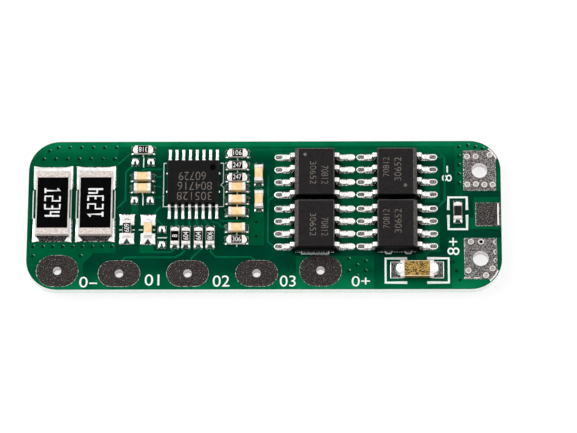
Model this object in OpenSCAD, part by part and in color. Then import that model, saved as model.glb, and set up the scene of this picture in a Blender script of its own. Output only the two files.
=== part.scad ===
// Battery management board: a small rounded circuit board for a four-cell pack.
// It carries five cell pads, two output pads, a charge pad, two current shunts, a sixteen-lead
// control circuit, four eight-lead switching circuits, chip resistors, chip capacitors and a
// speckled protector chip. Millimetres, +X along the board, +Z up through the parts, origin at the
// middle of the underside.

// Sub-part to draw, or all of them

/* [Board] */
// Board length
board_length = 45.5; // [45:0.5:52]
// Board width
board_width = 15; // [15:0.5:20]
// Board thickness
board_thickness = 1; // [0.6:0.1:2]
// Radius of the four board corners
corner_radius = 3; // [1:0.25:3.5]
// Thickness of the tinned copper on every pad and land
tin_thickness = 0.05; // [0.03:0.01:0.1]
// Thickness of the plating inside cell holes and vias
plating_thickness = 0.03; // [0.02:0.01:0.06]
// Thickness of the tinned lining inside an output hole
output_plating = 0.16; // [0.16:0.01:0.22]
// Clearance between a plated barrel or sunk plate and the board around it
plate_clearance = 0.01; // [0.005:0.005:0.02]
// Diameter of the dimple where a covered via lies under the mask
via_dimple_diameter = 0.36; // [0.2:0.02:0.44]
// Depth of a via dimple
via_dimple_depth = 0.05; // [0.02:0.01:0.08]

/* [Cell and output pads] */
// Distance from the board's left end to the first cell pad
cell_end_gap = 1; // [0.4:0.1:2]
// Distance from the board's long edge to the cell pads
cell_edge_gap = 0.32; // [0.2:0.02:0.5]
// Length of a cell pad
cell_pad_length = 4; // [3:0.1:4.2]
// Width of the three middle cell pads
cell_pad_width = 2.56; // [2:0.02:2.7]
// Width of the two end cell pads
end_pad_width = 3.1; // [2.2:0.05:3.15]
// Diameter of the wire hole in a cell pad
cell_hole_diameter = 0.8; // [0.5:0.05:1.2]
// Length of an output pad along the board
output_pad_length = 3.06; // [2.4:0.02:3.1]
// Width of an output pad across the board
output_pad_width = 4.06; // [3.6:0.02:4.1]
// Distance from the board's right end to the output pads
output_end_gap = 0.5; // [0.2:0.05:0.8]
// Distance from the board's long edges to the output pads
output_edge_gap = 1.02; // [0.6:0.02:1.4]
// Diameter of the wire hole in an output pad
output_hole_diameter = 1.5; // [0.9:0.05:1.8]
// Diameter of an open via in an output pad
open_via_diameter = 0.34; // [0.2:0.02:0.4]
// Width of the solder ring around an open via
via_ring_width = 0.1; // [0.05:0.01:0.12]
// Length of the charge pad along the board
charge_pad_length = 2.3; // [1.6:0.05:2.35]
// Width of the charge pad across the board
charge_pad_width = 2.3; // [1.4:0.05:2.6]
// Distance from the board's right end to the charge pad
charge_end_gap = 0.13; // [0.05:0.01:0.3]

/* [Current shunts] */
// Length of a shunt
shunt_length = 6.4; // [5.8:0.1:6.6]
// Width of a shunt
shunt_width = 3.2; // [2.6:0.05:3.3]
// Height of a shunt
shunt_height = 0.6; // [0.4:0.05:0.9]
// Distance between the two shunts, middle to middle
shunt_spacing = 4.14; // [4.1:0.02:4.3]
// Length of the metal end of a shunt
shunt_end_length = 0.64; // [0.4:0.02:0.8]

/* [Control circuit] */
// Length of the moulded body along its lead rows
controller_length = 5; // [4.9:0.05:5.1]
// Width of the moulded body between its lead rows
controller_width = 4.4; // [4:0.05:4.5]
// Height of the moulded body
controller_height = 0.95; // [0.8:0.05:1.2]
// Distance over the lead tips
controller_span = 6.4; // [6.2:0.05:6.6]
// Distance between neighbouring leads
controller_pitch = 0.65; // [0.6:0.01:0.66]
// Width of a lead
controller_lead_width = 0.25; // [0.18:0.01:0.3]
// Thickness of a lead
controller_lead_thickness = 0.13; // [0.1:0.01:0.18]
// Diameter of the dimple beside the first lead
dimple_diameter = 0.65; // [0.4:0.05:0.8]
// Depth of the dimple beside the first lead
dimple_depth = 0.05; // [0.03:0.01:0.1]

/* [Switching circuits] */
// Length of a moulded body along its lead rows
switch_length = 4.9; // [4.6:0.05:5]
// Width of a moulded body between its lead rows
switch_width = 3.9; // [3.6:0.05:4]
// Height of a moulded body
switch_height = 1.45; // [1.1:0.05:1.7]
// Width of the bevel along the first lead row
switch_bevel = 0.26; // [0.1:0.02:0.36]
// Distance over the lead tips
switch_span = 6; // [5.8:0.05:6.3]
// Distance between neighbouring leads
switch_pitch = 1.27; // [1.1:0.01:1.3]
// Width of a lead
switch_lead_width = 0.42; // [0.3:0.02:0.5]
// Thickness of a lead
switch_lead_thickness = 0.2; // [0.14:0.01:0.26]
// Distance between the two columns of circuits
switch_column_spacing = 7.9; // [7.84:0.02:8.2]
// Distance between the two rows of circuits
switch_row_spacing = 5.24; // [5.1:0.02:5.4]

/* [Leads and mouldings] */
// Height of a moulded body above the board
body_standoff = 0.12; // [0.08:0.01:0.2]
// Draft angle of the moulded bodies
draft_angle = 7; // [3:1:12]
// Slope of the lead legs from the board
lead_slope = 76; // [60:1:85]
// Inner radius of the lead bends
lead_bend_radius = 0.1; // [0.06:0.01:0.14]
// Length of lead held inside the moulding
lead_root = 0.3; // [0.15:0.05:0.5]

/* [Chip parts] */
// Length of a chip resistor or capacitor
chip_length = 1.6; // [1.4:0.05:1.7]
// Width of a chip resistor or capacitor
chip_width = 0.8; // [0.6:0.02:0.84]
// Height of a chip resistor
resistor_height = 0.45; // [0.3:0.05:0.6]
// Height of a chip capacitor
capacitor_height = 0.75; // [0.5:0.05:0.95]
// Length of the metal end of a chip part
chip_end_length = 0.3; // [0.2:0.01:0.36]
// Thickness of the metal ends
end_thickness = 0.03; // [0.02:0.005:0.05]
// Length of the protector chip
protector_length = 3.2; // [3:0.1:3.4]
// Width of the protector chip
protector_width = 1.6; // [1.3:0.05:1.7]
// Height of the protector chip
protector_height = 0.65; // [0.4:0.05:1]
// Length of the metal end of the protector chip
protector_end_length = 0.4; // [0.25:0.05:0.6]

/* [Solder] */
// Length of the solder slope at the end of a chip part
fillet_length = 0.27; // [0.15:0.01:0.29]
// Height of the solder slope as a share of the part height
fillet_share = 0.7; // [0.3:0.05:0.9]
// Height of the solder cushion on an empty land
cushion_rise = 0.12; // [0.06:0.02:0.2]
// Number of flats in each curved slope
slope_steps = 5; // [3:1:8]

/* [Hidden] */
$fn = 48;
overshoot = 1;
deck = board_thickness;
land_top = deck + tin_thickness;
body_floor = deck + body_standoff;
edge_margin = 0.12;
overcoat_thickness = end_thickness;

// Cell pads: set out from the left end, with a gap before each pad
cell_pad_gaps = [cell_end_gap, 1.93, 2.55, 2.6, 2.1];
function gap_sum(i) = i < 0 ? 0 : cell_pad_gaps[i] + gap_sum(i - 1);
function cell_pad_x(i) = -board_length / 2 + gap_sum(i) + (i + 0.5) * cell_pad_length;
function is_end_pad(i) = i == 0 || i == 4;
function pad_width(i) = is_end_pad(i) ? end_pad_width : cell_pad_width;
function cell_pad_y(i) = -board_width / 2 + cell_edge_gap + pad_width(i) / 2;

// Output pads: middles held from the right end, mirrored about the board's long axis
output_x = board_length / 2 - output_end_gap - output_pad_length / 2;
output_y = board_width / 2 - output_edge_gap - output_pad_width / 2;
output_vias_upper = [
    [-1.19, 1.42], [-0.36, 1.42], [1, 1.58],
    [-1.19, -1.44], [-0.36, -1.4], [0.45, -1.46], [1.24, -1.46]];
output_vias_lower = [[-0.92, 1.66], [0.05, 1.66], [1.12, -1.02], [0.48, -1.7], [-1.2, -1.22]];
charge_x = board_length / 2 - charge_end_gap - charge_pad_length / 2;

// Covered vias in straight rows: start, step, count
via_rows = [
    [[-21.36, 5.68], [1.14, 0], 7],
    [[-20.01, 6.86], [1.13, 0], 6],
    [[-20.84, 6.52], [0, 0], 1],
    [[-22.15, -3.2], [0.945, 0], 9],
    [[-22.15, -4.15], [4.58, 0], 2],
    [[output_x - 2, output_y + 2.41], [0, -0.93], 5],
    [[output_x - 1.13, output_y + 2.56], [0.72, -0.16], 3],
    [[8.1, -4.5], [0.8, -0.62], 2],
    [[8.1, -5.7], [0.8, -0.5], 2],
    [[9.7, -4.75], [0, -0.95], 2],
    [[output_x - 2.6, -output_y - 0.35], [0.3, -0.9], 3],
    [[-0.72, -0.74], [0, -1.46], 2]];

shunt_middle = [-18.26, 1.08];
shunt_land = [3.8, 2.15];
shunt_land_spacing = 5.45;
shunt_coat_margin = 0.12;

controller_middle = [-6.82, 3.07];
controller_pins = 8;
controller_foot = 0.4;
controller_land_width = 0.36;
controller_land_inner = 2.4;
controller_land_outer = 3.55;
tie_bar_width = 0.18;
tie_bar_reach = 0.08;
tie_bar_offset = 0.93;
dimple_inset = [0.8, 0.6];

switch_middle = [8.82, 1.27];
switch_pins = 4;
switch_foot = 0.38;
switch_land_width = 0.68;
switch_land_inner = 2.05;
switch_land_outer = 3.88;
function switch_x(i) = switch_middle[0] + (i % 2 == 0 ? -1 : 1) * switch_column_spacing / 2;
function switch_y(i) = switch_middle[1] + (i < 2 ? 1 : -1) * switch_row_spacing / 2;
function switch_turn(i) = i % 2 == 0 ? 0 : 180;

// The end resistor stands midway between the switching circuits' lands and the charge pad
switch_lands_end = switch_x(1) + switch_land_outer;
end_resistor_x = (switch_lands_end + charge_x - charge_pad_length / 2) / 2 + 0.1;

// Chip parts: middle along the board, middle across it, turn
column_x = -2.6;
left_x = -11.72;
row_y = -2.26;
resistor_places = [
    [left_x, 6.54, 0],
    [column_x, 6.18, 0],
    [column_x, 4.93, 0],
    [column_x, 3.7, 0],
    [column_x, -2.6, 0],
    [-8.53, row_y, 90],
    [-7.47, row_y, 90],
    [-6.28, row_y, 90],
    [-5.15, row_y, 90],
    [-13.15, -1.45, 90],
    [end_resistor_x, 0.22, 90]];
capacitor_places = [
    [left_x, 3.76, 0],
    [left_x, 2.61, 0],
    [column_x, 2.66, 0],
    [column_x, 1.42, 0],
    [column_x, 0.18, 0],
    [column_x, -1.43, 0],
    [-0.53, 4.05, 90],
    [-0.5, 1.43, 90],
    [-11.12, -1.5, 90]];
empty_places = [
    [left_x, 5.38, 0],
    [left_x, 1.48, 0],
    [-9.78, row_y, 90]];
wide_land_resistor = 9;
wide_land_capacitor = 8;
chip_land = [0.74, 0.84];
chip_land_spacing = 1.52;
wide_land = [1.14, 1.42];
wide_land_spacing = 1.9;
chip_coat_margin = 0.03;
protector_land = [1.5, 1.7];
protector_land_spacing = 3.6;
protector_gap = 2;
protector_middle = [output_x - output_pad_length / 2 - protector_gap
        - (protector_land_spacing + protector_land[0]) / 2, -5.6];

// Solder: how far each slope runs out, and how much narrower it is than its land or its part
shunt_fillet = 0.5;
shunt_slope_inset = 0.3;
chip_slope_inset = 0.06;
protector_fillet = 0.7;
protector_slope_inset = 0.1;
switch_fillet = 0.55;
slope_toe = 0.02;
cushion_inset = 0.04;
cushion_reach = 1.26;

tin_color = [0.62, 0.6, 0.6];
solder_color = [0.9, 0.9, 0.88];
mould_color = [0.13, 0.13, 0.13];
ceramic_color = [0.93, 0.92, 0.88];
tan_color = [0.86, 0.72, 0.5];

// ---- outlines ----

// Rectangle with four round corners, middle at the origin
module rounded_outline(length, width, radius) {
    square([length - 2 * radius, width], center = true);
    square([length, width - 2 * radius], center = true);
    for (sx = [-1, 1], sy = [-1, 1])
        translate([sx * (length / 2 - radius), sy * (width / 2 - radius)])
            circle(r = radius);
}

// Straight-sided outline with two round ends
module obround(length, width) {
    square([length - width, width], center = true);
    for (s = [-1, 1])
        translate([s * (length - width) / 2, 0])
            circle(d = width);
}

// Outline of an output pad, trimmed where it meets the board's corner
module output_outline(side, shrink) {
    intersection() {
        translate([output_x, side * output_y])
            square([output_pad_length - 2 * shrink, output_pad_width - 2 * shrink], center = true);
        rounded_outline(board_length - 2 * (edge_margin + shrink), board_width - 2 * (edge_margin + shrink),
            corner_radius - edge_margin - shrink);
    }
}

function output_vias(side) = side > 0 ? output_vias_upper : output_vias_lower;

// ---- board ----

module via_dimples() {
    for (row = via_rows, i = [0 : row[2] - 1])
        translate([row[0][0] + i * row[1][0], row[0][1] + i * row[1][1], deck - via_dimple_depth])
            cylinder(d = via_dimple_diameter, h = via_dimple_depth + overshoot);
}

module circuit_board() {
    color([0.02, 0.3, 0.18])
    difference() {
        linear_extrude(board_thickness)
            rounded_outline(board_length, board_width, corner_radius);
        for (i = [0 : 4])
            translate([cell_pad_x(i), cell_pad_y(i), 0]) {
                translate([0, 0, -overshoot])
                    cylinder(r = cell_hole_diameter / 2 + plating_thickness + plate_clearance,
                        h = deck + 2 * overshoot);
                translate([0, 0, -overshoot])
                    linear_extrude(overshoot + tin_thickness)
                        obround(cell_pad_length, pad_width(i));
            }
        for (side = [-1, 1]) {
            translate([output_x, side * output_y, -overshoot])
                cylinder(r = output_hole_diameter / 2 + output_plating + plate_clearance,
                    h = deck + 2 * overshoot);
            for (v = output_vias(side))
                translate([output_x + v[0], side * output_y + v[1], -overshoot])
                    cylinder(r = open_via_diameter / 2 + plating_thickness + plate_clearance,
                        h = deck + 2 * overshoot);
            translate([0, 0, -overshoot])
                linear_extrude(overshoot + tin_thickness)
                    output_outline(side, 0);
        }
        via_dimples();
    }
}

// ---- pads ----

module cell_pad(i) {
    color(tin_color)
    translate([cell_pad_x(i), cell_pad_y(i), 0])
    difference() {
        union() {
            translate([0, 0, deck])
                linear_extrude(tin_thickness)
                    obround(cell_pad_length, pad_width(i));
            linear_extrude(tin_thickness)
                obround(cell_pad_length - 2 * plate_clearance, pad_width(i) - 2 * plate_clearance);
            cylinder(r = cell_hole_diameter / 2 + plating_thickness, h = land_top);
        }
        translate([0, 0, -overshoot])
            cylinder(d = cell_hole_diameter, h = land_top + 2 * overshoot);
    }
}

module output_pad(side) {
    color(tin_color)
    difference() {
        union() {
            translate([0, 0, deck])
                linear_extrude(tin_thickness)
                    output_outline(side, 0);
            linear_extrude(tin_thickness)
                output_outline(side, plate_clearance);
            translate([output_x, side * output_y, 0])
                cylinder(r = output_hole_diameter / 2 + output_plating, h = land_top);
            for (v = output_vias(side))
                translate([output_x + v[0], side * output_y + v[1], 0]) {
                    cylinder(r = open_via_diameter / 2 + plating_thickness, h = land_top);
                    translate([0, 0, deck])
                        cylinder(r = open_via_diameter / 2 + via_ring_width, h = 2 * tin_thickness);
                }
        }
        translate([output_x, side * output_y, -overshoot])
            cylinder(d = output_hole_diameter, h = land_top + 2 * overshoot);
        for (v = output_vias(side))
            translate([output_x + v[0], side * output_y + v[1], -overshoot])
                cylinder(d = open_via_diameter, h = land_top + 2 * overshoot);
    }
}

module charge_pad() {
    color(tin_color)
    translate([charge_x, 0, deck])
        linear_extrude(tin_thickness)
            square([charge_pad_length, charge_pad_width], center = true);
}

// ---- lands ----

// Two lands, one under each end of a part lying along X
module land_pair(size, spacing) {
    for (s = [-1, 1])
        translate([s * spacing / 2, 0, deck])
            linear_extrude(tin_thickness)
                square(size, center = true);
}

module shunt_at(i) {
    translate([shunt_middle[0] + (i == 1 ? -1 : 1) * shunt_spacing / 2, shunt_middle[1], 0])
        rotate([0, 0, 90])
            children();
}

module shunt_lands() {
    color(tin_color)
    for (i = [1, 2])
        shunt_at(i)
            land_pair([shunt_land[1], shunt_land[0]], shunt_land_spacing);
}

module place(p) {
    translate([p[0], p[1], 0])
        rotate([0, 0, p[2]])
            children();
}

module chip_lands() {
    color(tin_color) {
        for (i = [0 : len(resistor_places) - 1])
            place(resistor_places[i])
                if (i == wide_land_resistor)
                    land_pair(wide_land, wide_land_spacing);
                else
                    land_pair(chip_land, chip_land_spacing);
        for (i = [0 : len(capacitor_places) - 1])
            place(capacitor_places[i])
                if (i == wide_land_capacitor)
                    land_pair(wide_land, wide_land_spacing);
                else
                    land_pair(chip_land, chip_land_spacing);
        for (p = empty_places)
            place(p)
                land_pair(chip_land, chip_land_spacing);
        translate([protector_middle[0], protector_middle[1], 0])
            land_pair(protector_land, protector_land_spacing);
    }
}

function pin_offset(i, count, pitch) = (i - (count - 1) / 2) * pitch;

module controller_at() {
    translate([controller_middle[0], controller_middle[1], 0])
        rotate([0, 0, 90])
            children();
}

module switch_at(i) {
    translate([switch_x(i), switch_y(i), 0])
        rotate([0, 0, switch_turn(i)])
            children();
}

// Copies for both lead rows: X points outward from the body, Y runs along the row
module both_rows(count, pitch) {
    for (turn = [0, 180], i = [0 : count - 1])
        rotate([0, 0, turn])
            translate([0, pin_offset(i, count, pitch), 0])
                children();
}

module controller_lands() {
    color(tin_color)
    controller_at()
        both_rows(controller_pins, controller_pitch)
            translate([controller_land_inner, -controller_land_width / 2, deck])
                cube([controller_land_outer - controller_land_inner, controller_land_width, tin_thickness]);
}

module switch_lands() {
    color(tin_color)
    for (i = [0 : 3])
        switch_at(i)
            both_rows(switch_pins, switch_pitch)
                translate([(switch_land_inner + switch_land_outer) / 2, 0, deck])
                    linear_extrude(tin_thickness)
                        obround(switch_land_outer - switch_land_inner, switch_land_width);
}

// ---- leads and mouldings ----

// Points round an arc about middle c, radius r, from angle a0 to a1
function arc_points(c, r, a0, a1, steps) =
    [for (k = [0 : steps]) c + r * [cos(a0 + (a1 - a0) * k / steps), sin(a0 + (a1 - a0) * k / steps)]];

// Gull-wing lead in side view: root inside the moulding, shoulder, two bends, leg and foot
module lead_outline(root, tip, shoulder_z, foot_z, thickness, foot) {
    r = lead_bend_radius + thickness / 2;
    drop = shoulder_z - foot_z - thickness / 2;
    leg = (drop - 2 * r * (1 - cos(lead_slope))) / sin(lead_slope);
    low_x = tip - foot;
    high_x = low_x - 2 * r * sin(lead_slope) - leg * cos(lead_slope);
    high = [high_x, shoulder_z - r];
    low = [low_x, foot_z + thickness / 2 + r];
    inner = r - thickness / 2;
    outer = r + thickness / 2;
    polygon(concat(
        [[root, shoulder_z + thickness / 2]],
        arc_points(high, outer, 90, 90 - lead_slope, slope_steps),
        arc_points(low, inner, 270 - lead_slope, 270, slope_steps),
        [[tip, foot_z + thickness], [tip, foot_z]],
        arc_points(low, outer, 270, 270 - lead_slope, slope_steps),
        arc_points(high, inner, 90 - lead_slope, 90, slope_steps),
        [[root, shoulder_z - thickness / 2]]));
}

// Extrude a side view across the lead, middle on the lead's own line
module across(width) {
    rotate([90, 0, 0])
        translate([0, 0, -width / 2])
            linear_extrude(width)
                children();
}

// Half-section of a two-way drafted moulding, with an optional bevel on the left shoulder
module moulding_outline(width, height, bevel) {
    lean = tan(draft_angle) * height / 2;
    w = width / 2;
    corner = w - lean;
    bevel_lean = tan(draft_angle) * (height / 2 - bevel);
    polygon(concat(
        [[-corner, 0], [corner, 0], [w, height / 2], [corner, height]],
        bevel > 0
            ? [[-corner + bevel, height], [-w + bevel_lean, height - bevel]]
            : [[-corner, height]],
        [[-w, height / 2]]));
}

// Moulded body: drafted above and below its parting line on all four sides
module moulding(width, length, height, bevel) {
    intersection() {
        translate([0, 0, body_floor])
            across(length + overshoot)
                moulding_outline(width, height, bevel);
        translate([0, 0, body_floor])
            rotate([0, 0, 90])
                across(width + overshoot)
                    moulding_outline(length, height, 0);
    }
}

// Slots in the moulding that hold the lead roots
module lead_slots(count, pitch, width, half_width, height, thickness) {
    both_rows(count, pitch)
        translate([half_width - lead_root, -width / 2, body_floor + height / 2 - thickness / 2])
            cube([lead_root + overshoot, width, thickness]);
}

module leads(count, pitch, width, half_width, height, thickness, span, foot) {
    both_rows(count, pitch)
        across(width)
            lead_outline(half_width - lead_root, span / 2, body_floor + height / 2, land_top,
                thickness, foot);
}

module tie_bars(reach) {
    for (sy = [-1, 1], sx = [-1, 1])
        translate([sx * tie_bar_offset - tie_bar_width / 2,
            sy > 0 ? controller_length / 2 - lead_root : -controller_length / 2 - reach,
            body_floor + controller_height / 2 - controller_lead_thickness / 2])
            cube([tie_bar_width, lead_root + reach, controller_lead_thickness]);
}

module controller_body() {
    color(mould_color)
    controller_at()
    difference() {
        moulding(controller_width, controller_length, controller_height, 0);
        lead_slots(controller_pins, controller_pitch, controller_lead_width, controller_width / 2,
            controller_height, controller_lead_thickness);
        tie_bars(overshoot);
        translate([controller_width / 2 - dimple_inset[0], -controller_length / 2 + dimple_inset[1],
            body_floor + controller_height - dimple_depth])
            cylinder(d = dimple_diameter, h = dimple_depth + overshoot);
    }
}

module controller_leads() {
    color(solder_color)
    controller_at() {
        leads(controller_pins, controller_pitch, controller_lead_width, controller_width / 2,
            controller_height, controller_lead_thickness, controller_span, controller_foot);
        tie_bars(tie_bar_reach);
    }
}

module switch_body(i) {
    color(mould_color)
    switch_at(i)
    difference() {
        moulding(switch_width, switch_length, switch_height, switch_bevel);
        lead_slots(switch_pins, switch_pitch, switch_lead_width, switch_width / 2,
            switch_height, switch_lead_thickness);
    }
}

module switch_leads(i) {
    color(solder_color)
    switch_at(i)
        leads(switch_pins, switch_pitch, switch_lead_width, switch_width / 2, switch_height,
            switch_lead_thickness, switch_span, switch_foot);
}

// ---- chip parts ----

// Block lying along X on the lands, middle over the origin
module block(length, width, height, lift) {
    translate([-length / 2, -width / 2, land_top + lift])
        cube([length, width, height]);
}

module resistor_ceramic(length, width, height) {
    block(length - 2 * end_thickness, width, height - 2 * end_thickness, end_thickness);
}

// Metal ends folded over the top, the end and the bottom
module folded_ends(length, width, height, end_length) {
    for (turn = [0, 180])
        rotate([0, 0, turn])
            difference() {
                translate([length / 2 - end_length, -width / 2, land_top])
                    cube([end_length, width, height]);
                translate([length / 2 - end_length - overshoot, -width, land_top + end_thickness])
                    cube([end_length + overshoot - end_thickness, 2 * width, height - 2 * end_thickness]);
            }
}

// Dark coat over the middle of a resistor
module overcoat(length, width, height, end_length, side_margin) {
    translate([-length / 2 + end_length, -width / 2 + side_margin, land_top + height - end_thickness])
        cube([length - 2 * end_length, width - 2 * side_margin, overcoat_thickness]);
}

module capacitor_ceramic(length, width, height) {
    block(length - 2 * end_thickness, width - 2 * end_thickness, height - 2 * end_thickness,
        end_thickness);
}

// Metal ends dipped over all five faces
module dipped_ends(length, width, height, end_length) {
    for (turn = [0, 180])
        rotate([0, 0, turn])
            difference() {
                translate([length / 2 - end_length, -width / 2, land_top])
                    cube([end_length, width, height]);
                translate([length / 2 - end_length - overshoot, -width / 2 + end_thickness,
                    land_top + end_thickness])
                    cube([end_length + overshoot - end_thickness, width - 2 * end_thickness,
                        height - 2 * end_thickness]);
            }
}

module shunt_ceramic(i) {
    color(ceramic_color)
    shunt_at(i)
        resistor_ceramic(shunt_length, shunt_width, shunt_height);
}

module shunt_ends(i) {
    color(solder_color)
    shunt_at(i)
        folded_ends(shunt_length, shunt_width, shunt_height, shunt_end_length);
}

module shunt_overcoat(i) {
    color(mould_color)
    shunt_at(i)
        overcoat(shunt_length, shunt_width, shunt_height, shunt_end_length, shunt_coat_margin);
}

module resistor(i) {
    color(ceramic_color)
    place(resistor_places[i])
        resistor_ceramic(chip_length, chip_width, resistor_height);
}

module resistor_ends() {
    color(solder_color)
    for (p = resistor_places)
        place(p)
            folded_ends(chip_length, chip_width, resistor_height, chip_end_length);
}

module resistor_overcoats() {
    color(mould_color)
    for (p = resistor_places)
        place(p)
            overcoat(chip_length, chip_width, resistor_height, chip_end_length, chip_coat_margin);
}

module capacitor(i) {
    color(tan_color)
    place(capacitor_places[i])
        capacitor_ceramic(chip_length, chip_width, capacitor_height);
}

module capacitor_ends() {
    color(solder_color)
    for (p = capacitor_places)
        place(p)
            dipped_ends(chip_length, chip_width, capacitor_height, chip_end_length);
}

module protector_body() {
    color([0.55, 0.42, 0.1])
    translate([protector_middle[0], protector_middle[1], 0])
        capacitor_ceramic(protector_length, protector_width, protector_height);
}

module protector_ends() {
    color(solder_color)
    translate([protector_middle[0], protector_middle[1], 0])
        dipped_ends(protector_length, protector_width, protector_height, protector_end_length);
}

// ---- solder ----

// Hollow solder slope: stands on the land, leans on the face at the origin, runs out along X
module slope(length, width, height) {
    across(width)
        translate([0, land_top])
            polygon(concat([[0, 0], [length, 0]],
                [for (k = [0 : slope_steps])
                    [length * (1 - sin(90 * k / slope_steps)),
                        slope_toe + (height - slope_toe) * (1 - cos(90 * k / slope_steps))]]));
}

module end_slopes(length, run, width, height) {
    for (turn = [0, 180])
        rotate([0, 0, turn])
            translate([length / 2, 0, 0])
                slope(run, width, height);
}

module shunt_solder() {
    color(solder_color)
    for (i = [1, 2])
        shunt_at(i)
            end_slopes(shunt_length, shunt_fillet, shunt_land[0] - shunt_slope_inset,
                shunt_height * fillet_share);
}

// Low solder cushion on a land with no part: a cap of a ball that would meet the land past its edge
module cushion(size, rise) {
    reach = cushion_reach * size / 2;
    ball = (reach * reach + rise * rise) / (2 * rise);
    intersection() {
        translate([-size / 2, -size / 2, land_top])
            cube([size, size, rise]);
        translate([0, 0, land_top + rise - ball])
            sphere(r = ball);
    }
}

module chip_solder() {
    color(solder_color) {
        for (p = empty_places, s = [-1, 1])
            place(p)
                translate([s * chip_land_spacing / 2, 0, 0])
                    cushion(chip_land[0] - cushion_inset, cushion_rise);
        for (p = resistor_places)
            place(p)
                end_slopes(chip_length, fillet_length, chip_width - chip_slope_inset,
                    resistor_height * fillet_share);
        for (p = capacitor_places)
            place(p)
                end_slopes(chip_length, fillet_length, chip_width - chip_slope_inset,
                    capacitor_height * fillet_share);
    }
}

module protector_solder() {
    color(solder_color)
    translate([protector_middle[0], protector_middle[1], 0])
        end_slopes(protector_length, protector_fillet, protector_width - protector_slope_inset,
            protector_height * fillet_share);
}

module controller_solder() {
    color(solder_color)
    controller_at()
        both_rows(controller_pins, controller_pitch)
            translate([controller_span / 2, 0, 0])
                slope(controller_land_outer - controller_span / 2, controller_lead_width,
                    controller_lead_thickness);
}

module switch_solder() {
    color(solder_color)
    for (i = [0 : 3])
        switch_at(i)
            both_rows(switch_pins, switch_pitch)
                translate([switch_span / 2, 0, 0])
                    slope(switch_fillet, switch_lead_width, switch_lead_thickness);
}

circuit_board();
cell_pad(0);  // cell_pad_1
cell_pad(1);  // cell_pad_2
cell_pad(2);  // cell_pad_3
cell_pad(3);  // cell_pad_4
cell_pad(4);  // cell_pad_5
output_pad(1);  // output_pad_upper
output_pad(-1);  // output_pad_lower
charge_pad();
shunt_lands();
controller_lands();
switch_lands();
chip_lands();
shunt_ceramic(1);  // shunt_1_ceramic
shunt_ends(1);  // shunt_1_ends
shunt_overcoat(1);  // shunt_1_overcoat
shunt_ceramic(2);  // shunt_2_ceramic
shunt_ends(2);  // shunt_2_ends
shunt_overcoat(2);  // shunt_2_overcoat
controller_body();
controller_leads();
switch_body(0);  // switch_1_body
switch_leads(0);  // switch_1_leads
switch_body(1);  // switch_2_body
switch_leads(1);  // switch_2_leads
switch_body(2);  // switch_3_body
switch_leads(2);  // switch_3_leads
switch_body(3);  // switch_4_body
switch_leads(3);  // switch_4_leads
resistor(0);  // resistor_1
resistor(1);  // resistor_2
resistor(2);  // resistor_3
resistor(3);  // resistor_4
resistor(4);  // resistor_5
resistor(5);  // resistor_6
resistor(6);  // resistor_7
resistor(7);  // resistor_8
resistor(8);  // resistor_9
resistor(9);  // resistor_10
resistor(10);  // resistor_11
resistor_ends();
resistor_overcoats();
capacitor(0);  // capacitor_1
capacitor(1);  // capacitor_2
capacitor(2);  // capacitor_3
capacitor(3);  // capacitor_4
capacitor(4);  // capacitor_5
capacitor(5);  // capacitor_6
capacitor(6);  // capacitor_7
capacitor(7);  // capacitor_8
capacitor(8);  // capacitor_9
capacitor_ends();
protector_body();
protector_ends();
shunt_solder();
controller_solder();
switch_solder();
chip_solder();
protector_solder();
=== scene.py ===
# %% [markdown]
# # A small battery management board
#
# The board, its pads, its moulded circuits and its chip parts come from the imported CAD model.
# That model is the fixed frame of this lesson: nothing in it is moved. What is added here is
# what makes a bare board look like a soldered one: the copper under the green mask, the white
# print, the solder, the marks on the parts, and the finish of every surface.

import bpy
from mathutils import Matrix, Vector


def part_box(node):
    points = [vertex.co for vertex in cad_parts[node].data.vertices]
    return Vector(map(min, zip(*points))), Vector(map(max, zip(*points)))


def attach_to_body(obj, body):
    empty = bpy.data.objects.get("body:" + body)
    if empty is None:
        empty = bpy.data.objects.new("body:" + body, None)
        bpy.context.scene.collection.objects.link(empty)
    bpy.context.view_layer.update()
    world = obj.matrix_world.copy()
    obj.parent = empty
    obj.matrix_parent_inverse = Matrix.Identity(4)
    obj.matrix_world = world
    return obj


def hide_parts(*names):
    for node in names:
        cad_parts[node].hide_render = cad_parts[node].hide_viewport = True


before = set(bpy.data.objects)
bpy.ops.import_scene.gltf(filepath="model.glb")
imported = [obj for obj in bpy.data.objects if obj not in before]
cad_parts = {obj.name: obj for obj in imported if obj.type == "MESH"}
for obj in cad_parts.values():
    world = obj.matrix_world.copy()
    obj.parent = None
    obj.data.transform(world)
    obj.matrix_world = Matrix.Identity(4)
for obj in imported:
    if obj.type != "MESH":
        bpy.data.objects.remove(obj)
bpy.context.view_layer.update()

import fnmatch
import math

import bmesh
import bpy
from mathutils import Matrix, Vector

MM = 0.001
MICRON = 0.000001

# %% [markdown]
# ## Measuring the frame
#
# Blender works in metres and the board is described in millimetres, so every length below is
# written in millimetres and multiplied by `MM`. Heights and middles are read from the frame,
# so the solder and the print land where the parts really are.


# %% Read heights and middles from the frame
def box_mm(node):
    """Lowest and highest corner of a CAD node, in millimetres."""
    low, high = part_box(node)
    return [c / MM for c in low], [c / MM for c in high]


def middle(node):
    """Middle of a CAD node seen from above, in millimetres."""
    low, high = box_mm(node)
    return (low[0] + high[0]) / 2, (low[1] + high[1]) / 2


def lies_along(node):
    """True for a part that is longer along X than along Y."""
    low, high = box_mm(node)
    return high[0] - low[0] > high[1] - low[1]


def at(x, y, z):
    """A place in millimetres as a place in metres."""
    return x * MM, y * MM, z * MM


DECK = box_mm("circuit_board")[1][2]
LAND_TOP = box_mm("charge_pad")[1][2]
SWITCHES = [f"switch_{i}" for i in range(1, 5)]
print("board top", round(DECK, 3), "land top", round(LAND_TOP, 3))

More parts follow.
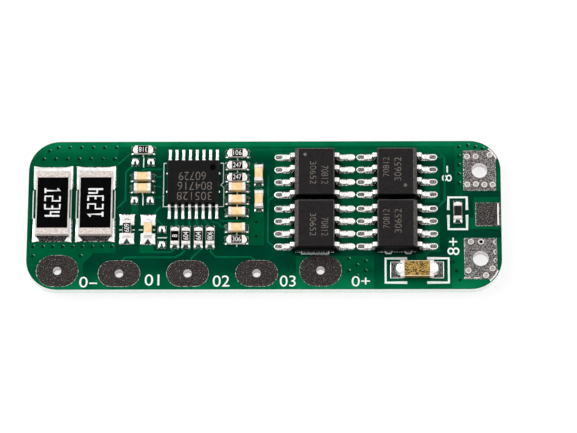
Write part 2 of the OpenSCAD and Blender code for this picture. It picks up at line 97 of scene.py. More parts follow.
# %% [markdown]
# ## Small helpers
#
# Every operator acts on what is selected, and the loaded frame leaves all its nodes selected.
# So each piece starts by clearing the selection. In edit mode, `pick` selects points by their
# height, which stands in for clicking on them.


# %% Selection helpers
def clear():
    """Leave edit mode and deselect everything."""
    if bpy.context.object and bpy.context.object.mode != "OBJECT":
        bpy.ops.object.mode_set(mode="OBJECT")
    bpy.ops.object.select_all(action="DESELECT")


def only(obj):
    """Make one object the selected and active one."""
    clear()
    obj.select_set(True)
    bpy.context.view_layer.objects.active = obj


def open_mesh():
    """Enter edit mode with every point selected."""
    bpy.ops.object.mode_set(mode="EDIT")
    bpy.ops.mesh.select_all(action="SELECT")


def close_mesh():
    """Leave edit mode."""
    bpy.ops.object.mode_set(mode="OBJECT")


def pick(height):
    """In edit mode, select only the points above a height in millimetres."""
    mesh = bmesh.from_edit_mesh(bpy.context.object.data)
    for part in (mesh.faces, mesh.edges, mesh.verts):
        for item in part:
            item.select_set(False)
    for point in mesh.verts:
        if point.co.z / MM > height:
            point.select_set(True)
    mesh.select_flush(True)
    bmesh.update_edit_mesh(bpy.context.object.data)


# %% Object helpers
def settle(obj):
    """Put the object's place, turn and scale into its mesh."""
    only(obj)
    bpy.ops.object.transform_apply(location=True, rotation=True, scale=True)
    return obj


def named(obj, name):
    """Name an object and its mesh."""
    obj.name = obj.data.name = name
    return obj


def joined(parts, name):
    """Join meshes into one piece with a name."""
    clear()
    for part in parts:
        part.select_set(True)
    bpy.context.view_layer.objects.active = parts[0]
    if len(parts) > 1:
        bpy.ops.object.join()
    return settle(named(bpy.context.object, name))


def modify(obj, kind, **settings):
    """Add a modifier, set it and apply it."""
    only(obj)
    modifier = obj.modifiers.new(kind.title(), kind)
    for key, value in settings.items():
        setattr(modifier, key, value)
    bpy.ops.object.modifier_apply(modifier=modifier.name)
    return obj


def soften(obj, width, segments, angle):
    """Bevel the edges that are sharper than an angle in degrees."""
    limit = math.radians(angle)
    return modify(
        obj, "BEVEL", width=width * MM, segments=segments, limit_method="ANGLE", angle_limit=limit
    )


def smooth(obj):
    """Shade a whole mesh smooth."""
    only(obj)
    bpy.ops.object.shade_smooth()
    return obj


def copy_to(obj, x, y, turn=0, seed=None, wobble=0.004):
    """A copy with its own mesh, turned in degrees and moved, its points nudged a little."""
    only(obj)
    bpy.ops.object.duplicate(linked=False)
    twin = bpy.context.object
    twin.rotation_euler = (0, 0, math.radians(turn))
    twin.location = at(x, y, 0)
    settle(twin)
    if seed is not None:
        open_mesh()
        bpy.ops.transform.vertex_random(offset=wobble * MM, uniform=0.3, seed=seed)
        close_mesh()
    return twin


def remove(*patterns):
    """Delete pattern pieces once their copies are made."""
    for pattern in patterns:
        only(pattern)
        bpy.ops.object.delete()


def attach(piece, finish, stands_for=None):
    """Give the piece its finish and let it ride on the board."""
    piece.data.materials.clear()
    piece.data.materials.append(finish)
    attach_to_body(piece, "root")
    if stands_for:
        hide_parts(stands_for)
    print(piece.name, len(piece.data.polygons), "faces")


# %% [markdown]
# ## Two patterns that most finishes share
#
# Real surfaces are never one colour. A node group is a small set of nodes with its own sockets,
# made once and used in many materials. `Mottle` gives a soft value from 0 to 1 that wanders over
# the surface. `Grain` turns fine noise into tiny bumps, so light breaks up on it. Both read
# Object coordinates, so the pattern stays put when the piece or the camera moves.


# %% Node group: mottle
def link(tree, *pairs):
    """Join sockets pair by pair."""
    for start, end in pairs:
        tree.links.new(start, end)


def group_with(name, inputs, output, kind):
    """A node group with number inputs and one output, its two end nodes, and a noise in it."""
    tree = bpy.data.node_groups.new(name, "ShaderNodeTree")
    for label, value in inputs.items():
        socket = tree.interface.new_socket(label, in_out="INPUT", socket_type="NodeSocketFloat")
        socket.default_value = value
    tree.interface.new_socket(output, in_out="OUTPUT", socket_type=kind)
    entry = tree.nodes.new("NodeGroupInput")
    spot = tree.nodes.new("ShaderNodeTexCoord")
    noise = tree.nodes.new("ShaderNodeTexNoise")
    link(
        tree,
        (spot.outputs["Object"], noise.inputs["Vector"]),
        (entry.outputs["Scale"], noise.inputs["Scale"]),
    )
    return tree, entry, noise, tree.nodes.new("NodeGroupOutput")


MOTTLE, entry, noise, leave = group_with(
    "Mottle", {"Scale": 600, "Detail": 4, "Low": 0.35, "High": 0.65}, "Value", "NodeSocketFloat"
)
spread = MOTTLE.nodes.new("ShaderNodeMapRange")
link(
    MOTTLE,
    (entry.outputs["Detail"], noise.inputs["Detail"]),
    (noise.outputs["Fac"], spread.inputs["Value"]),
    (entry.outputs["Low"], spread.inputs["From Min"]),
    (entry.outputs["High"], spread.inputs["From Max"]),
    (spread.outputs["Result"], leave.inputs["Value"]),
)
print("group", MOTTLE.name)

# %% Node group: grain
GRAIN, entry, noise, leave = group_with(
    "Grain", {"Scale": 8000, "Depth": 10 * MICRON, "Strength": 0.5}, "Normal", "NodeSocketVector"
)
noise.inputs["Detail"].default_value = 3
bump = GRAIN.nodes.new("ShaderNodeBump")
link(
    GRAIN,
    (noise.outputs["Fac"], bump.inputs["Height"]),
    (entry.outputs["Depth"], bump.inputs["Distance"]),
    (entry.outputs["Strength"], bump.inputs["Strength"]),
    (bump.outputs["Normal"], leave.inputs["Normal"]),
)
print("group", GRAIN.name)


# %% [markdown]
# ## A finish in one call
#
# Each finish below mixes two colours by the mottle, moves its roughness with the same value,
# and takes its bumps from the grain. Colours are written as they look on a screen, from 0 to
# 255, and turned into the linear values that the shader needs. A finish is written as dark
# colour, light colour, roughness from and to, mottle (scale, detail, low, high) and grain
# (scale, depth in micrometres, strength).


# %% Finish helpers
def linear(red, green, blue):
    """A screen colour from 0 to 255 as the linear colour of a shader."""
    def one(value):
        value /= 255
        return value / 12.92 if value <= 0.04045 else ((value + 0.055) / 1.055) ** 2.4

    return one(red), one(green), one(blue), 1


def add_group(tree, group, **values):
    """A group node with some of its sockets set."""
    node = tree.nodes.new("ShaderNodeGroup")
    node.node_tree = group
    for label, value in values.items():
        node.inputs[label].default_value = value
    return node


def feed(tree, socket, value):
    """Link a socket to another, or set it to a plain value."""
    if isinstance(value, bpy.types.NodeSocket):
        tree.links.new(value, socket)
    else:
        socket.default_value = value


def colour_mix(tree, factor, first, second):
    """A colour mix node; each input is a colour or a socket."""
    node = tree.nodes.new("ShaderNodeMix")
    node.data_type = "RGBA"
    for place, value in ((0, factor), (6, first), (7, second)):
        feed(tree, node.inputs[place], value)
    return node.outputs[2]


def arithmetic(tree, operation, first, second=0.0):
    """A Math node; each input is a number or a socket."""
    node = tree.nodes.new("ShaderNodeMath")
    node.operation = operation
    feed(tree, node.inputs[0], first)
    feed(tree, node.inputs[1], second)
    return node.outputs[0]


def finish(name, dark, light, rough, mottle, grain, metal=0, specular=0.5, tint=(1, 1, 1, 1)):
    """A finish of two mingled colours, with its own roughness and grain."""
    material = bpy.data.materials.new(name)
    material.use_nodes = True
    tree = material.node_tree
    shader = tree.nodes["Principled BSDF"]
    shader.inputs["Metallic"].default_value = metal
    shader.inputs["Specular IOR Level"].default_value = specular
    shader.inputs["Specular Tint"].default_value = tint
    wander = add_group(tree, MOTTLE, Scale=mottle[0], Detail=mottle[1], Low=mottle[2], High=mottle[3])
    roughness = tree.nodes.new("ShaderNodeMapRange")
    roughness.inputs["To Min"].default_value = rough[0]
    roughness.inputs["To Max"].default_value = rough[1]
    bumps = add_group(tree, GRAIN, Scale=grain[0], Depth=grain[1] * MICRON, Strength=grain[2])
    colour = colour_mix(tree, wander.outputs["Value"], linear(*dark), linear(*light))
    link(
        tree,
        (colour, shader.inputs["Base Color"]),
        (wander.outputs["Value"], roughness.inputs["Value"]),
        (roughness.outputs["Result"], shader.inputs["Roughness"]),
        (bumps.outputs["Normal"], shader.inputs["Normal"]),
    )
    print("finish", name)
    return material


def paint_over(material, mask, dark, light, scale):
    """Lay a second mottled colour over a finish, where the mask that a function makes is 1."""
    tree = material.node_tree
    socket = tree.nodes["Principled BSDF"].inputs["Base Color"]
    below = socket.links[0].from_socket
    wander = add_group(tree, MOTTLE, Scale=scale)
    colour = colour_mix(tree, wander.outputs["Value"], linear(*dark), linear(*light))
    link(tree, (colour_mix(tree, mask(tree), below, colour), socket))


# %% [markdown]
# ## Masks from place and direction
#
# A mask is a value that is 1 where a second colour shows. Object coordinates tell where a point
# is, and Normal coordinates tell which way its face looks. Comparing them with a number, or
# fading between two numbers, gives every mask used below.


# %% Mask helpers
def coordinate(tree, kind, axis):
    """One axis of a texture coordinate as a socket."""
    source = tree.nodes.new("ShaderNodeTexCoord")
    split = tree.nodes.new("ShaderNodeSeparateXYZ")
    link(tree, (source.outputs[kind], split.inputs["Vector"]))
    return split.outputs[axis]


def fade(tree, socket, start, end, low=0.0, high=1.0):
    """A socket that goes smoothly from low to high as its input goes from start to end."""
    ramp = tree.nodes.new("ShaderNodeMapRange")
    ramp.interpolation_type = "SMOOTHSTEP"
    for label, value in (("From Min", start), ("From Max", end), ("To Min", low), ("To Max", high)):
        ramp.inputs[label].default_value = value
    link(tree, (socket, ramp.inputs["Value"]))
    return ramp.outputs["Result"]


def between(tree, socket, low, high):
    """A socket that is 1 while its input lies between two numbers."""
    above = arithmetic(tree, "GREATER_THAN", socket, low)
    return arithmetic(tree, "MULTIPLY", above, arithmetic(tree, "LESS_THAN", socket, high))


def off_from(tree, axis, place):
    """How far a point lies from a place along an axis."""
    off = arithmetic(tree, "SUBTRACT", coordinate(tree, "Object", axis), place * MM)
    return arithmetic(tree, "ABSOLUTE", off)


def near(tree, axis, place, reach, soft):
    """A mask that is 1 close to a place along an axis and fades to 0 past its reach."""
    return fade(tree, off_from(tree, axis, place), (reach + soft) * MM, reach * MM)


def patch(tree, across, along):
    """A mask that is near a place along X and near one along Y."""
    return arithmetic(tree, "MULTIPLY", near(tree, "X", *across), near(tree, "Y", *along))


def sideways(tree):
    """A mask that is 1 where a face looks sideways, and 0 where it looks up or down."""
    return arithmetic(tree, "LESS_THAN", arithmetic(tree, "ABSOLUTE", coordinate(tree, "Normal", "Z")), 0.5)


# %% [markdown]
# ## The green mask and the cut edge
#
# Solder mask is a glossy green film over pale glass laminate. Over bare laminate it is dark,
# and over copper it is brighter. It is thinner and paler towards the long edges of the board,
# so another green comes in there. The cut edge shows the laminate itself, which is nearly
# white and is laid over the green where a face looks sideways.

# %% Board finish
FILM = {"rough": (0.12, 0.2), "specular": 0.22, "tint": (0.0, 0.55, 0.32, 1)}
FILM_GRAIN = (3500, 3, 0.25)
board_mask = finish(
    "mask on laminate", (0, 48, 32), (0, 63, 42), mottle=(350, 3, 0.3, 0.7), grain=(3000, 3, 0.25), **FILM
)
copper_mask = finish(
    "mask on copper", (0, 69, 41), (0, 90, 54), mottle=(420, 3, 0.3, 0.7), grain=FILM_GRAIN, **FILM
)
FILM["specular"] = 0.3
trace_mask = finish(
    "mask on a track", (0, 80, 50), (0, 100, 64), mottle=(900, 3, 0.3, 0.7), grain=FILM_GRAIN, **FILM
)
glint_mask = finish(
    "glint on the mask", (60, 140, 112), (180, 222, 206), (0.15, 0.3), (9000, 3, 0.35, 0.65), FILM_GRAIN,
    specular=0.3,
)
for mask, start, dark, light in (
    (board_mask, 5.0, (0, 84, 50), (0, 100, 60)),
    (copper_mask, 5.6, (5, 104, 64), (10, 118, 74)),
):
    paint_over(
        mask, lambda tree: fade(tree, off_from(tree, "Y", 0), start * MM, 7.5 * MM), dark, light, 400
    )
paint_over(board_mask, sideways, (228, 238, 230), (244, 249, 245), 4000)

# %% [markdown]
# Shade is painted into the hollow over each covered via, which is coloured nearly black. Height in
# Object coordinates finds those hollows: they lie just under the board's top. A painted shadow
# also darkens the mask close beside both columns of switching circuits, between their feet.


# %% Painted shade in the via hollows and beside the switching circuits
def hollows(tree):
    """A mask for painted shade, 1 on level faces just under the board's top."""
    level = arithmetic(tree, "SUBTRACT", 1.0, sideways(tree))
    height = coordinate(tree, "Object", "Z")
    return arithmetic(tree, "MULTIPLY", level, between(tree, height, DECK / 2 * MM, (DECK - 0.02) * MM))


def beside(tree, x):
    """A mask for painted shadow, 1 on the board's top close to one column of switching circuits."""
    upper = between(tree, coordinate(tree, "Object", "Z"), DECK / 2 * MM, (DECK + 1) * MM)
    return arithmetic(tree, "MULTIPLY", upper, patch(tree, (x, 2.12, 0.45), (1.1, 4.9, 0.3)))


# Painted shade: the via hollows are coloured nearly black.
paint_over(board_mask, hollows, (0, 42, 27), (0, 64, 42), 3000)
# Painted shadow beside both columns of switching circuits, on bare and on copper mask.
for mask in (board_mask, copper_mask):
    for x in (5.02, 12.92):
        paint_over(mask, lambda tree: beside(tree, x), (0, 12, 8), (2, 26, 16), 900)
print("edge, hollows and shade painted")

# %% [markdown]
# ## Tin, solder and leads
#
# Bare pads are copper dipped in tin. Handling and the dip leave them grainy and dull, from
# charcoal to pale grey. Solder that has flowed is bright and smooth, with small flat facets
# where it froze. The plated leads and the ends of the chip parts lie between the two.

# %% Metal finishes
WORN = (0.35, 0.6)
PAD_GRAIN = (6500, 20, 0.9)
SATIN = {"rough": (0.4, 0.6), "mottle": (7000, 4, 0.35, 0.65), "grain": (8500, 8, 0.7), "metal": 0.3}
pad_tin = finish("grainy tin", (0, 0, 0), (45, 37, 35), WORN, (8200, 5, 0.4, 0.62), PAD_GRAIN, 0.2, 0.3)
charge_tin = finish("worn tin", (14, 9, 9), (60, 54, 52), WORN, (6500, 5, 0.4, 0.64), PAD_GRAIN, 0.2, 0.3)
output_tin = finish(
    "pale grainy tin", (14, 11, 12), (136, 130, 129), WORN, (9000, 6, 0.44, 0.59), (7500, 20, 0.9), 0.3
)
via_tin = finish(
    "filled via", (142, 138, 134), (206, 203, 199), (0.3, 0.5), (9000, 3, 0.4, 0.6), (8000, 10, 0.5), 0.2
)
land_tin = finish(
    "tinned land", (60, 58, 57), (225, 225, 222), (0.2, 0.4), (6500, 4, 0.42, 0.6), (5000, 12, 0.7), 0.6
)
solder = finish(
    "flowed solder", (238, 238, 236), (255, 255, 253), (0.08, 0.18), (1500, 2, 0.3, 0.6), (1300, 10, 0.3),
    0.8,
)
lead_tin = finish(
    "plated lead", (238, 238, 235), (255, 255, 252), (0.12, 0.24), (2400, 2, 0.3, 0.6), (5200, 4, 0.4), 0.7
)
shunt_tin = finish("satin shunt end", (192, 178, 172), (230, 221, 215), **SATIN)
end_tin = finish("satin chip end", (222, 212, 207), (252, 248, 244), **SATIN)

# %% [markdown]
# A solder slope mirrors what is round it. Where it faces the dark mask it looks dark and green,
# so that slope gets a painted reflection. The near ends of the shunts lie in shade, so they get
# a dull speckled painted shade. Both get a finish of their own.

# %% Shaded solder, and the painted shade of the near shunt ends
SKIN_GRAIN = (7000, 10, 0.7)
shade = finish(
    "solder in shade", (4, 40, 29), (64, 98, 84), (0.15, 0.3), (4200, 3, 0.4, 0.68), (5000, 10, 0.5),
    0.2, 0.2,
)
dull_core = finish(
    "dull core", (14, 13, 14), (176, 172, 170), (0.3, 0.5), (9500, 3, 0.42, 0.6), SKIN_GRAIN, 0.2, 0.2
)
# Painted shade for the near ends of the shunts, with speckled grain.
dull = finish(
    "dull skin", (0, 0, 1), (112, 109, 109), (0.35, 0.55), (9000, 4, 0.48, 0.64), SKIN_GRAIN, 0.2, 0.2
)

# %% [markdown]
# Long-stored tin has pale flecks where the grain stands up. The flecks are a second, finer
# mottle that only reaches full strength at its peaks. The wall of a plated hole mirrors the
# white surround, so a painted reflection gives it a pale colour wherever a face looks sideways.
# The lands of the protector chip are darker than the others.


# %% Flecks, painted reflection on hole walls, and dark lands
def flecks(tree, rarity):
    """A mask of fine flecks, fewer the higher the rarity."""
    return add_group(tree, MOTTLE, Scale=9500, Detail=2, Low=rarity, High=rarity + 0.17).outputs["Value"]


for tin, pale, rarity in (
    (pad_tin, (176, 162, 156), 0.6),
    (charge_tin, (176, 168, 164), 0.57),
    (output_tin, (205, 200, 198), 0.55),
):
    paint_over(tin, lambda tree: flecks(tree, rarity), pale, pale, 2500)
    # Painted reflection: tin faces that look sideways, such as hole walls, are pale.
    paint_over(tin, sideways, (224, 220, 218), (246, 244, 243), 3000)
PROTECTOR_X, PROTECTOR_Y = middle("protector_body")
AROUND = ((PROTECTOR_X, 3.3, 0.1), (PROTECTOR_Y, 1.2, 0.1))
paint_over(land_tin, lambda tree: patch(tree, *AROUND), (8, 7, 8), (118, 120, 117), 6400)
print("pads have flecks and pale hole walls")

# %% [markdown]
# ## The parts
#
# Moulding compound is matt and nearly black, with fine pale filler that sparkles. A resistor
# has a white ceramic under a black glaze, a capacitor is tan ceramic, and the protector chip
# is cream ceramic with a speckled brown and gold coat.

# %% Part finishes
MATT = (0.4, 0.6)
PRINT_ROUGH = (0.5, 0.65)
FINE_GRAIN = (9000, 5, 0.5)
CERAMIC_GRAIN = (8000, 5, 0.5)
INK_GRAIN = (7000, 4, 0.4)
moulding = finish(
    "moulding compound", (12, 9, 10), (34, 30, 31), MATT, (6000, 5, 0.35, 0.75), FINE_GRAIN, 0, 0.15
)
fine_moulding = finish(
    "fine moulding", (0, 0, 0), (17, 13, 14), MATT, (7000, 5, 0.38, 0.72), FINE_GRAIN, 0, 0.12
)
glaze = finish(
    "black glaze", (0, 0, 1), (4, 3, 5), (0.2, 0.3), (1600, 3, 0.3, 0.7), (5000, 2, 0.3), 0, 0.03
)
alumina = finish(
    "white ceramic", (206, 204, 194), (238, 236, 229), (0.45, 0.6), (3000, 4, 0.35, 0.65), (9000, 6, 0.5),
    0, 0.3,
)
tan = finish(
    "tan ceramic", (245, 203, 143), (255, 232, 184), (0.35, 0.5), (1700, 4, 0.3, 0.7), CERAMIC_GRAIN, 0, 0.3
)
speckled = finish(
    "speckled coat", (30, 18, 0), (208, 166, 78), (0.3, 0.5), (8600, 4, 0.42, 0.59), (9000, 10, 0.8),
    0, 0.35,
)
cream = finish(
    "cream ceramic", (232, 206, 150), (254, 240, 204), (0.4, 0.5), (2600, 3, 0.3, 0.7), CERAMIC_GRAIN, 0, 0.3
)
print_white = finish(
    "white print", (236, 248, 242), (254, 255, 254), PRINT_ROUGH, (5000, 3, 0.3, 0.7), INK_GRAIN, 0, 0.3
)
mark_white = finish(
    "white mark", (232, 232, 230), (252, 252, 252), PRINT_ROUGH, (4000, 3, 0.3, 0.7), INK_GRAIN, 0, 0.3
)
mark_grey = finish(
    "laser mark", (84, 78, 74), (134, 125, 119), (0.6, 0.75), (6500, 4, 0.35, 0.65), CERAMIC_GRAIN, 0, 0.15
)

# %% [markdown]
# A painted highlight makes the bevel and the rounded edges of a moulded body paler than its top,
# and painted shade makes the end that looks to the front nearly black. Both are found by the
# slant of their surface normal. The glaze of the last resistor has aged to grey.

# %% Painted highlight on slants, painted shade on fronts and sides, and the grey glaze
FRONT = -0.2


def highlight_on_slants(tree):
    """A mask for painted highlight, 1 on slants but not on those that look to the front."""
    slant = between(tree, coordinate(tree, "Normal", "Z"), 0.3, 0.985)
    behind = arithmetic(tree, "GREATER_THAN", coordinate(tree, "Normal", "Y"), FRONT)
    return arithmetic(tree, "MULTIPLY", slant, behind)


def shade_on_fronts(tree):
    """A mask for painted shade, 1 on faces that look to the front, upright or on a slant."""
    return arithmetic(tree, "LESS_THAN", coordinate(tree, "Normal", "Y"), FRONT)


# Painted highlight on the slants and painted shade on the front faces of the mouldings.
for compound in (moulding, fine_moulding):
    paint_over(compound, highlight_on_slants, (66, 62, 61), (98, 93, 90), 5000)
    paint_over(compound, shade_on_fronts, (0, 0, 0), (8, 7, 7), 5000)
# Painted shade: the sides of the protector's cream ceramic are dark brown.
paint_over(cream, sideways, (92, 74, 34), (140, 112, 58), 4000)
paint_over(glaze, lambda tree: near(tree, "X", 18.5, 1.0, 0.05), (24, 24, 25), (46, 45, 46), 5000)
print("mouldings have paler slants")

# %% [markdown]
# ## Dressing the CAD nodes
#
# A CAD node's mesh is loose triangles, so a Weld modifier joins them before a Bevel rounds
# their edges. Both stay live as modifiers, and the CAD mesh below them is left as it is.
# Sharp corners never catch light, so even a bevel of a few hundredths of a millimetre helps.
# Each row below is a name pattern, a finish and the width of the bevel. The first row that
# fits a node is used.

# %% Dress the CAD nodes
DRESS = [
    ("circuit_board", board_mask, 0),
    ("cell_pad*", pad_tin, 0),
    ("output_pad*", output_tin, 0),
    ("charge_pad", charge_tin, 0),
    # The control circuit's lands take the colour of shaded solder as painted shade.
    ("controller_lands", shade, 0),
    ("*_lands", land_tin, 0),
    ("*_leads", lead_tin, 0.03),
    ("*_solder", solder, 0),
    ("shunt*_ends", shunt_tin, 0.028),
    ("*_ends", end_tin, 0.028),
    ("*overcoat*", glaze, 0.008),
    ("*_ceramic", alumina, 0.02),
    ("resistor*", alumina, 0.02),
    ("capacitor*", tan, 0.02),
    ("protector_body", cream, 0.06),
    ("controller_body", fine_moulding, 0.07),
    ("*_body", moulding, 0.09),
]
for node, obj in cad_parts.items():
    material, round_off = next(row[1:] for row in DRESS if fnmatch.fnmatch(node, row[0]))
    obj.data.materials.clear()
    obj.data.materials.append(material)
    if round_off:
        obj.modifiers.new("Weld", "WELD").merge_threshold = 0.0005 * MM
        bevel = obj.modifiers.new("Bevel", "BEVEL")
        bevel.width = round_off * MM
        bevel.segments = 2
        bevel.limit_method = "ANGLE"
        bevel.angle_limit = math.radians(32)
print("dressed", len(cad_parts), "nodes")

# %% [markdown]
# ## Drawing on the board
#
# Copper areas, tracks and printed lines are all drawn the same way by hand: a plane is merged
# to a single point, and the point is extruded from corner to corner. A closed outline is filled
# with a face and given a little height. A route becomes a curve with a round section, which is
# then made a mesh and pressed flat, so it has soft shoulders like mask over a real track.


# %% Draw outlines and routes
def extrude(x, y, z):
    """In edit mode, extrude what is selected, in millimetres."""
    bpy.ops.mesh.extrude_region_move(TRANSFORM_OT_translate={"value": at(x, y, z)})


def route(points, height=DECK):
    """A chain of edges through points in millimetres."""
    clear()
    bpy.ops.mesh.primitive_plane_add(size=MM, location=at(*points[0], height))
    bpy.ops.object.mode_set(mode="EDIT")
    bpy.ops.mesh.merge(type="CENTER")
    bpy.ops.mesh.select_all(action="SELECT")
    for (x0, y0), (x1, y1) in zip(points, points[1:]):
        extrude(x1 - x0, y1 - y0, 0)
    close_mesh()
    return bpy.context.object


def plate(points, rise, height=DECK):
    """A filled outline in millimetres, raised by rise."""
    obj = route([*points, points[0]], height)
    open_mesh()
    bpy.ops.mesh.remove_doubles(threshold=0.001 * MM)
    bpy.ops.mesh.edge_face_add()
    extrude(0, 0, rise)
    bpy.ops.mesh.select_all(action="SELECT")
    bpy.ops.mesh.normals_make_consistent(inside=False)
    close_mesh()
    return obj


def lines(routes, width, rise, name, height=DECK):
    """Routes drawn with a width and a small rise, as one mesh."""
    only(joined([route(points, height) for points in routes], name))
    bpy.ops.object.convert(target="CURVE")
    curve = bpy.context.object.data
    curve.bevel_depth = width / 2 * MM
    curve.bevel_resolution = 2
    curve.use_fill_caps = True
    bpy.ops.object.convert(target="MESH")
    open_mesh()
    bpy.ops.transform.resize(value=(1, 1, rise / (width / 2)), center_override=at(0, 0, height))
    bpy.ops.mesh.remove_doubles(threshold=0.0005 * MM)
    bpy.ops.mesh.normals_make_consistent(inside=False)
    close_mesh()
    bpy.ops.object.shade_smooth_by_angle(angle=math.radians(40))
    return bpy.context.object


def disc(corners, radius, x, y, height):
    """A flat round face at a place in millimetres."""
    clear()
    bpy.ops.mesh.primitive_circle_add(
        vertices=corners, radius=radius * MM, fill_type="NGON", location=at(x, y, height)
    )
    return settle(bpy.context.object)


def drum(radius, depth, x, y, height):
    """An upright cylinder at a place in millimetres."""
    clear()
    bpy.ops.mesh.primitive_cylinder_add(
        vertices=20, radius=radius * MM, depth=depth * MM, location=at(x, y, height)
    )
    return bpy.context.object


def step_middle(steps):
    """Inset the new disc step by step, and raise or sink its middle after each."""
    open_mesh()
    for inset, lift in steps:
        bpy.ops.mesh.inset(thickness=inset * MM)
        bpy.ops.transform.translate(value=at(0, 0, lift))
    close_mesh()


# %% [markdown]
# ## Copper areas under the mask
#
# Large currents run through wide copper areas. Under the mask they show as brighter green
# plates, a few hundredths of a millimetre proud. Their outlines are drawn first, and then a
# Boolean takes out a small hole at every covered via, so the dimples in the board stay open.


# %% Outline helpers
def block(x0, x1, y0, y1):
    """The four corners of a rectangle."""
    return [(x0, y0), (x1, y0), (x1, y1), (x0, y1)]


def oval(x, y, wide, tall, start=0, end=345, steps=23):
    """Points on an oval, with half widths and angles in degrees."""
    angles = [math.radians(start + (end - start) * k / steps) for k in range(steps + 1)]
    return [(x + wide * math.cos(a), y + tall * math.sin(a)) for a in angles]


def arc(x, y, radius, start, end, steps=6):
    """Points on an arc, with angles in degrees."""
    return oval(x, y, radius, radius, start, end, steps)


def obround(x0, x1, y0, y1, steps=10):
    """Outline with two round ends along X."""
    half, mid = (y1 - y0) / 2, (y0 + y1) / 2
    return arc(x1 - half, mid, half, -90, 90, steps) + arc(x0 + half, mid, half, 90, 270, steps)


# %% Copper areas and vias
EDGE_X, EDGE_Y = 22.71, 7.46
CORNER_X, CORNER_Y, CORNER = 19.75, 4.5, 2.96
POURS = [
    [(-EDGE_X, 2.9), (-14.1, 2.9), (-14.1, EDGE_Y), *arc(-CORNER_X, CORNER_Y, CORNER, 90, 180)],
    [
        (-EDGE_X, -2.7), *arc(-CORNER_X, -CORNER_Y, CORNER, 180, 270), (-17.3, -EDGE_Y), (-17.3, -4.9),
        (-16.3, -3.85), (-14.2, -3.85), (-14.2, -2.7),
    ],
    block(-EDGE_X, -22.45, -2.7, 2.9),
    block(-12.8, -12.1, 0.0, 1.1),
    block(-11.9, -10.6, -3.85, -3.05),
    block(-1.9, 0.0, -3.1, 1.05),
    block(-0.7, -0.25, 2.5, 3.05),
    block(-1.5, -0.9, 4.6, 5.2),
    block(0.95, 2.9, 2.6, 6.4),
    block(0.95, 2.9, -2.4, 1.1),
    block(7.0, 11.0, -3.6, 6.6),
    block(15.4, 16.85, 1.2, 4.9),
    [
        (14.5, -4.5), (15.2, -4.5), (16.0, -3.8), (16.85, -3.8), (16.85, -0.2), (15.4, -0.2), (15.4, -3.4),
        (14.5, -3.8),
    ],
    [
        (18.33, 1.87), (19.12, 1.87), (19.12, 2.38), (EDGE_X, 2.38),
        *arc(CORNER_X, CORNER_Y, CORNER, 0, 90), (18.33, EDGE_Y),
    ],
    [(19.65, -1.5), (EDGE_X, -1.5), (EDGE_X, 1.75), (20.1, 1.75), (20.1, -0.3), (19.65, -0.3)],
    [
        (17.6, -2.35), (17.6, -4.1), (17.95, -4.1), (17.95, -EDGE_Y),
        *arc(CORNER_X, -CORNER_Y, CORNER, -90, 0), (EDGE_X, -2.35),
    ],
    block(3.1, 10.55, -EDGE_Y, -4.15),
    block(-14.05, 18.3, 6.95, EDGE_Y),
]
VIA_ROWS = [
    ((-21.36, 5.68), (1.14, 0), 7), ((-20.01, 6.86), (1.13, 0), 6), ((-20.84, 6.52), (0, 0), 1),
    ((-22.15, -3.2), (0.945, 0), 9), ((-22.15, -4.15), (4.58, 0), 2), ((18.72, 6.86), (0, -0.93), 5),
    ((19.59, 7.01), (0.72, -0.16), 3),
    ((8.1, -4.5), (0.8, -0.62), 2), ((8.1, -5.7), (0.8, -0.5), 2), ((9.7, -4.75), (0, -0.95), 2),
    ((18.12, -4.8), (0.3, -0.9), 3), ((-0.72, -0.74), (0, -1.46), 2),
]
VIAS = [(x + i * dx, y + i * dy) for (x, y), (dx, dy), count in VIA_ROWS for i in range(count)]
UPPER_VIAS = [
    (-1.19, 1.42), (-0.36, 1.42), (1, 1.58), (-1.19, -1.44), (-0.36, -1.4), (0.45, -1.46), (1.24, -1.46),
]
LOWER_VIAS = [(-0.92, 1.66), (0.05, 1.66), (1.12, -1.02), (0.48, -1.7), (-1.2, -1.22)]
OUTPUT_X = 20.72
OUTPUT_Y = 4.45
OPEN_VIAS = [(OUTPUT_X + x, OUTPUT_Y + y) for x, y in UPPER_VIAS]
OPEN_VIAS += [(OUTPUT_X + x, y - OUTPUT_Y) for x, y in LOWER_VIAS]
COPPER_RISE = 0.025
COPPER_TOP = DECK + COPPER_RISE
print(len(POURS), "areas and", len(VIAS), "vias")

# %% Make the copper areas
copper_areas = joined([plate(points, COPPER_RISE) for points in POURS], "copper_areas")
DRILL_DEPTH = 0.5
VIA_RADIUS, OPEN_RADIUS, OUTPUT_RADIUS, CELL_RADIUS = 0.15, 0.2, 0.88, 0.46
BORES = [(x, y, VIA_RADIUS) for x, y in VIAS] + [(x, y, OPEN_RADIUS) for x, y in OPEN_VIAS]
BORES += [(OUTPUT_X, y, OUTPUT_RADIUS) for y in (OUTPUT_Y, -OUTPUT_Y)]
BORES += [(*middle(f"cell_pad_{i}"), CELL_RADIUS) for i in range(1, 6)]
drill_set = joined([drum(radius, DRILL_DEPTH, x, y, DECK) for x, y, radius in BORES], "drill_set")
modify(copper_areas, "BOOLEAN", object=drill_set, operation="DIFFERENCE", solver="EXACT")
remove(drill_set)
soften(copper_areas, 0.012, 2, 40)
attach(copper_areas, copper_mask)

# %% [markdown]
# ## Tracks
#
# Signals run in thin tracks between the pads. Each list below is one track, bend by bend.

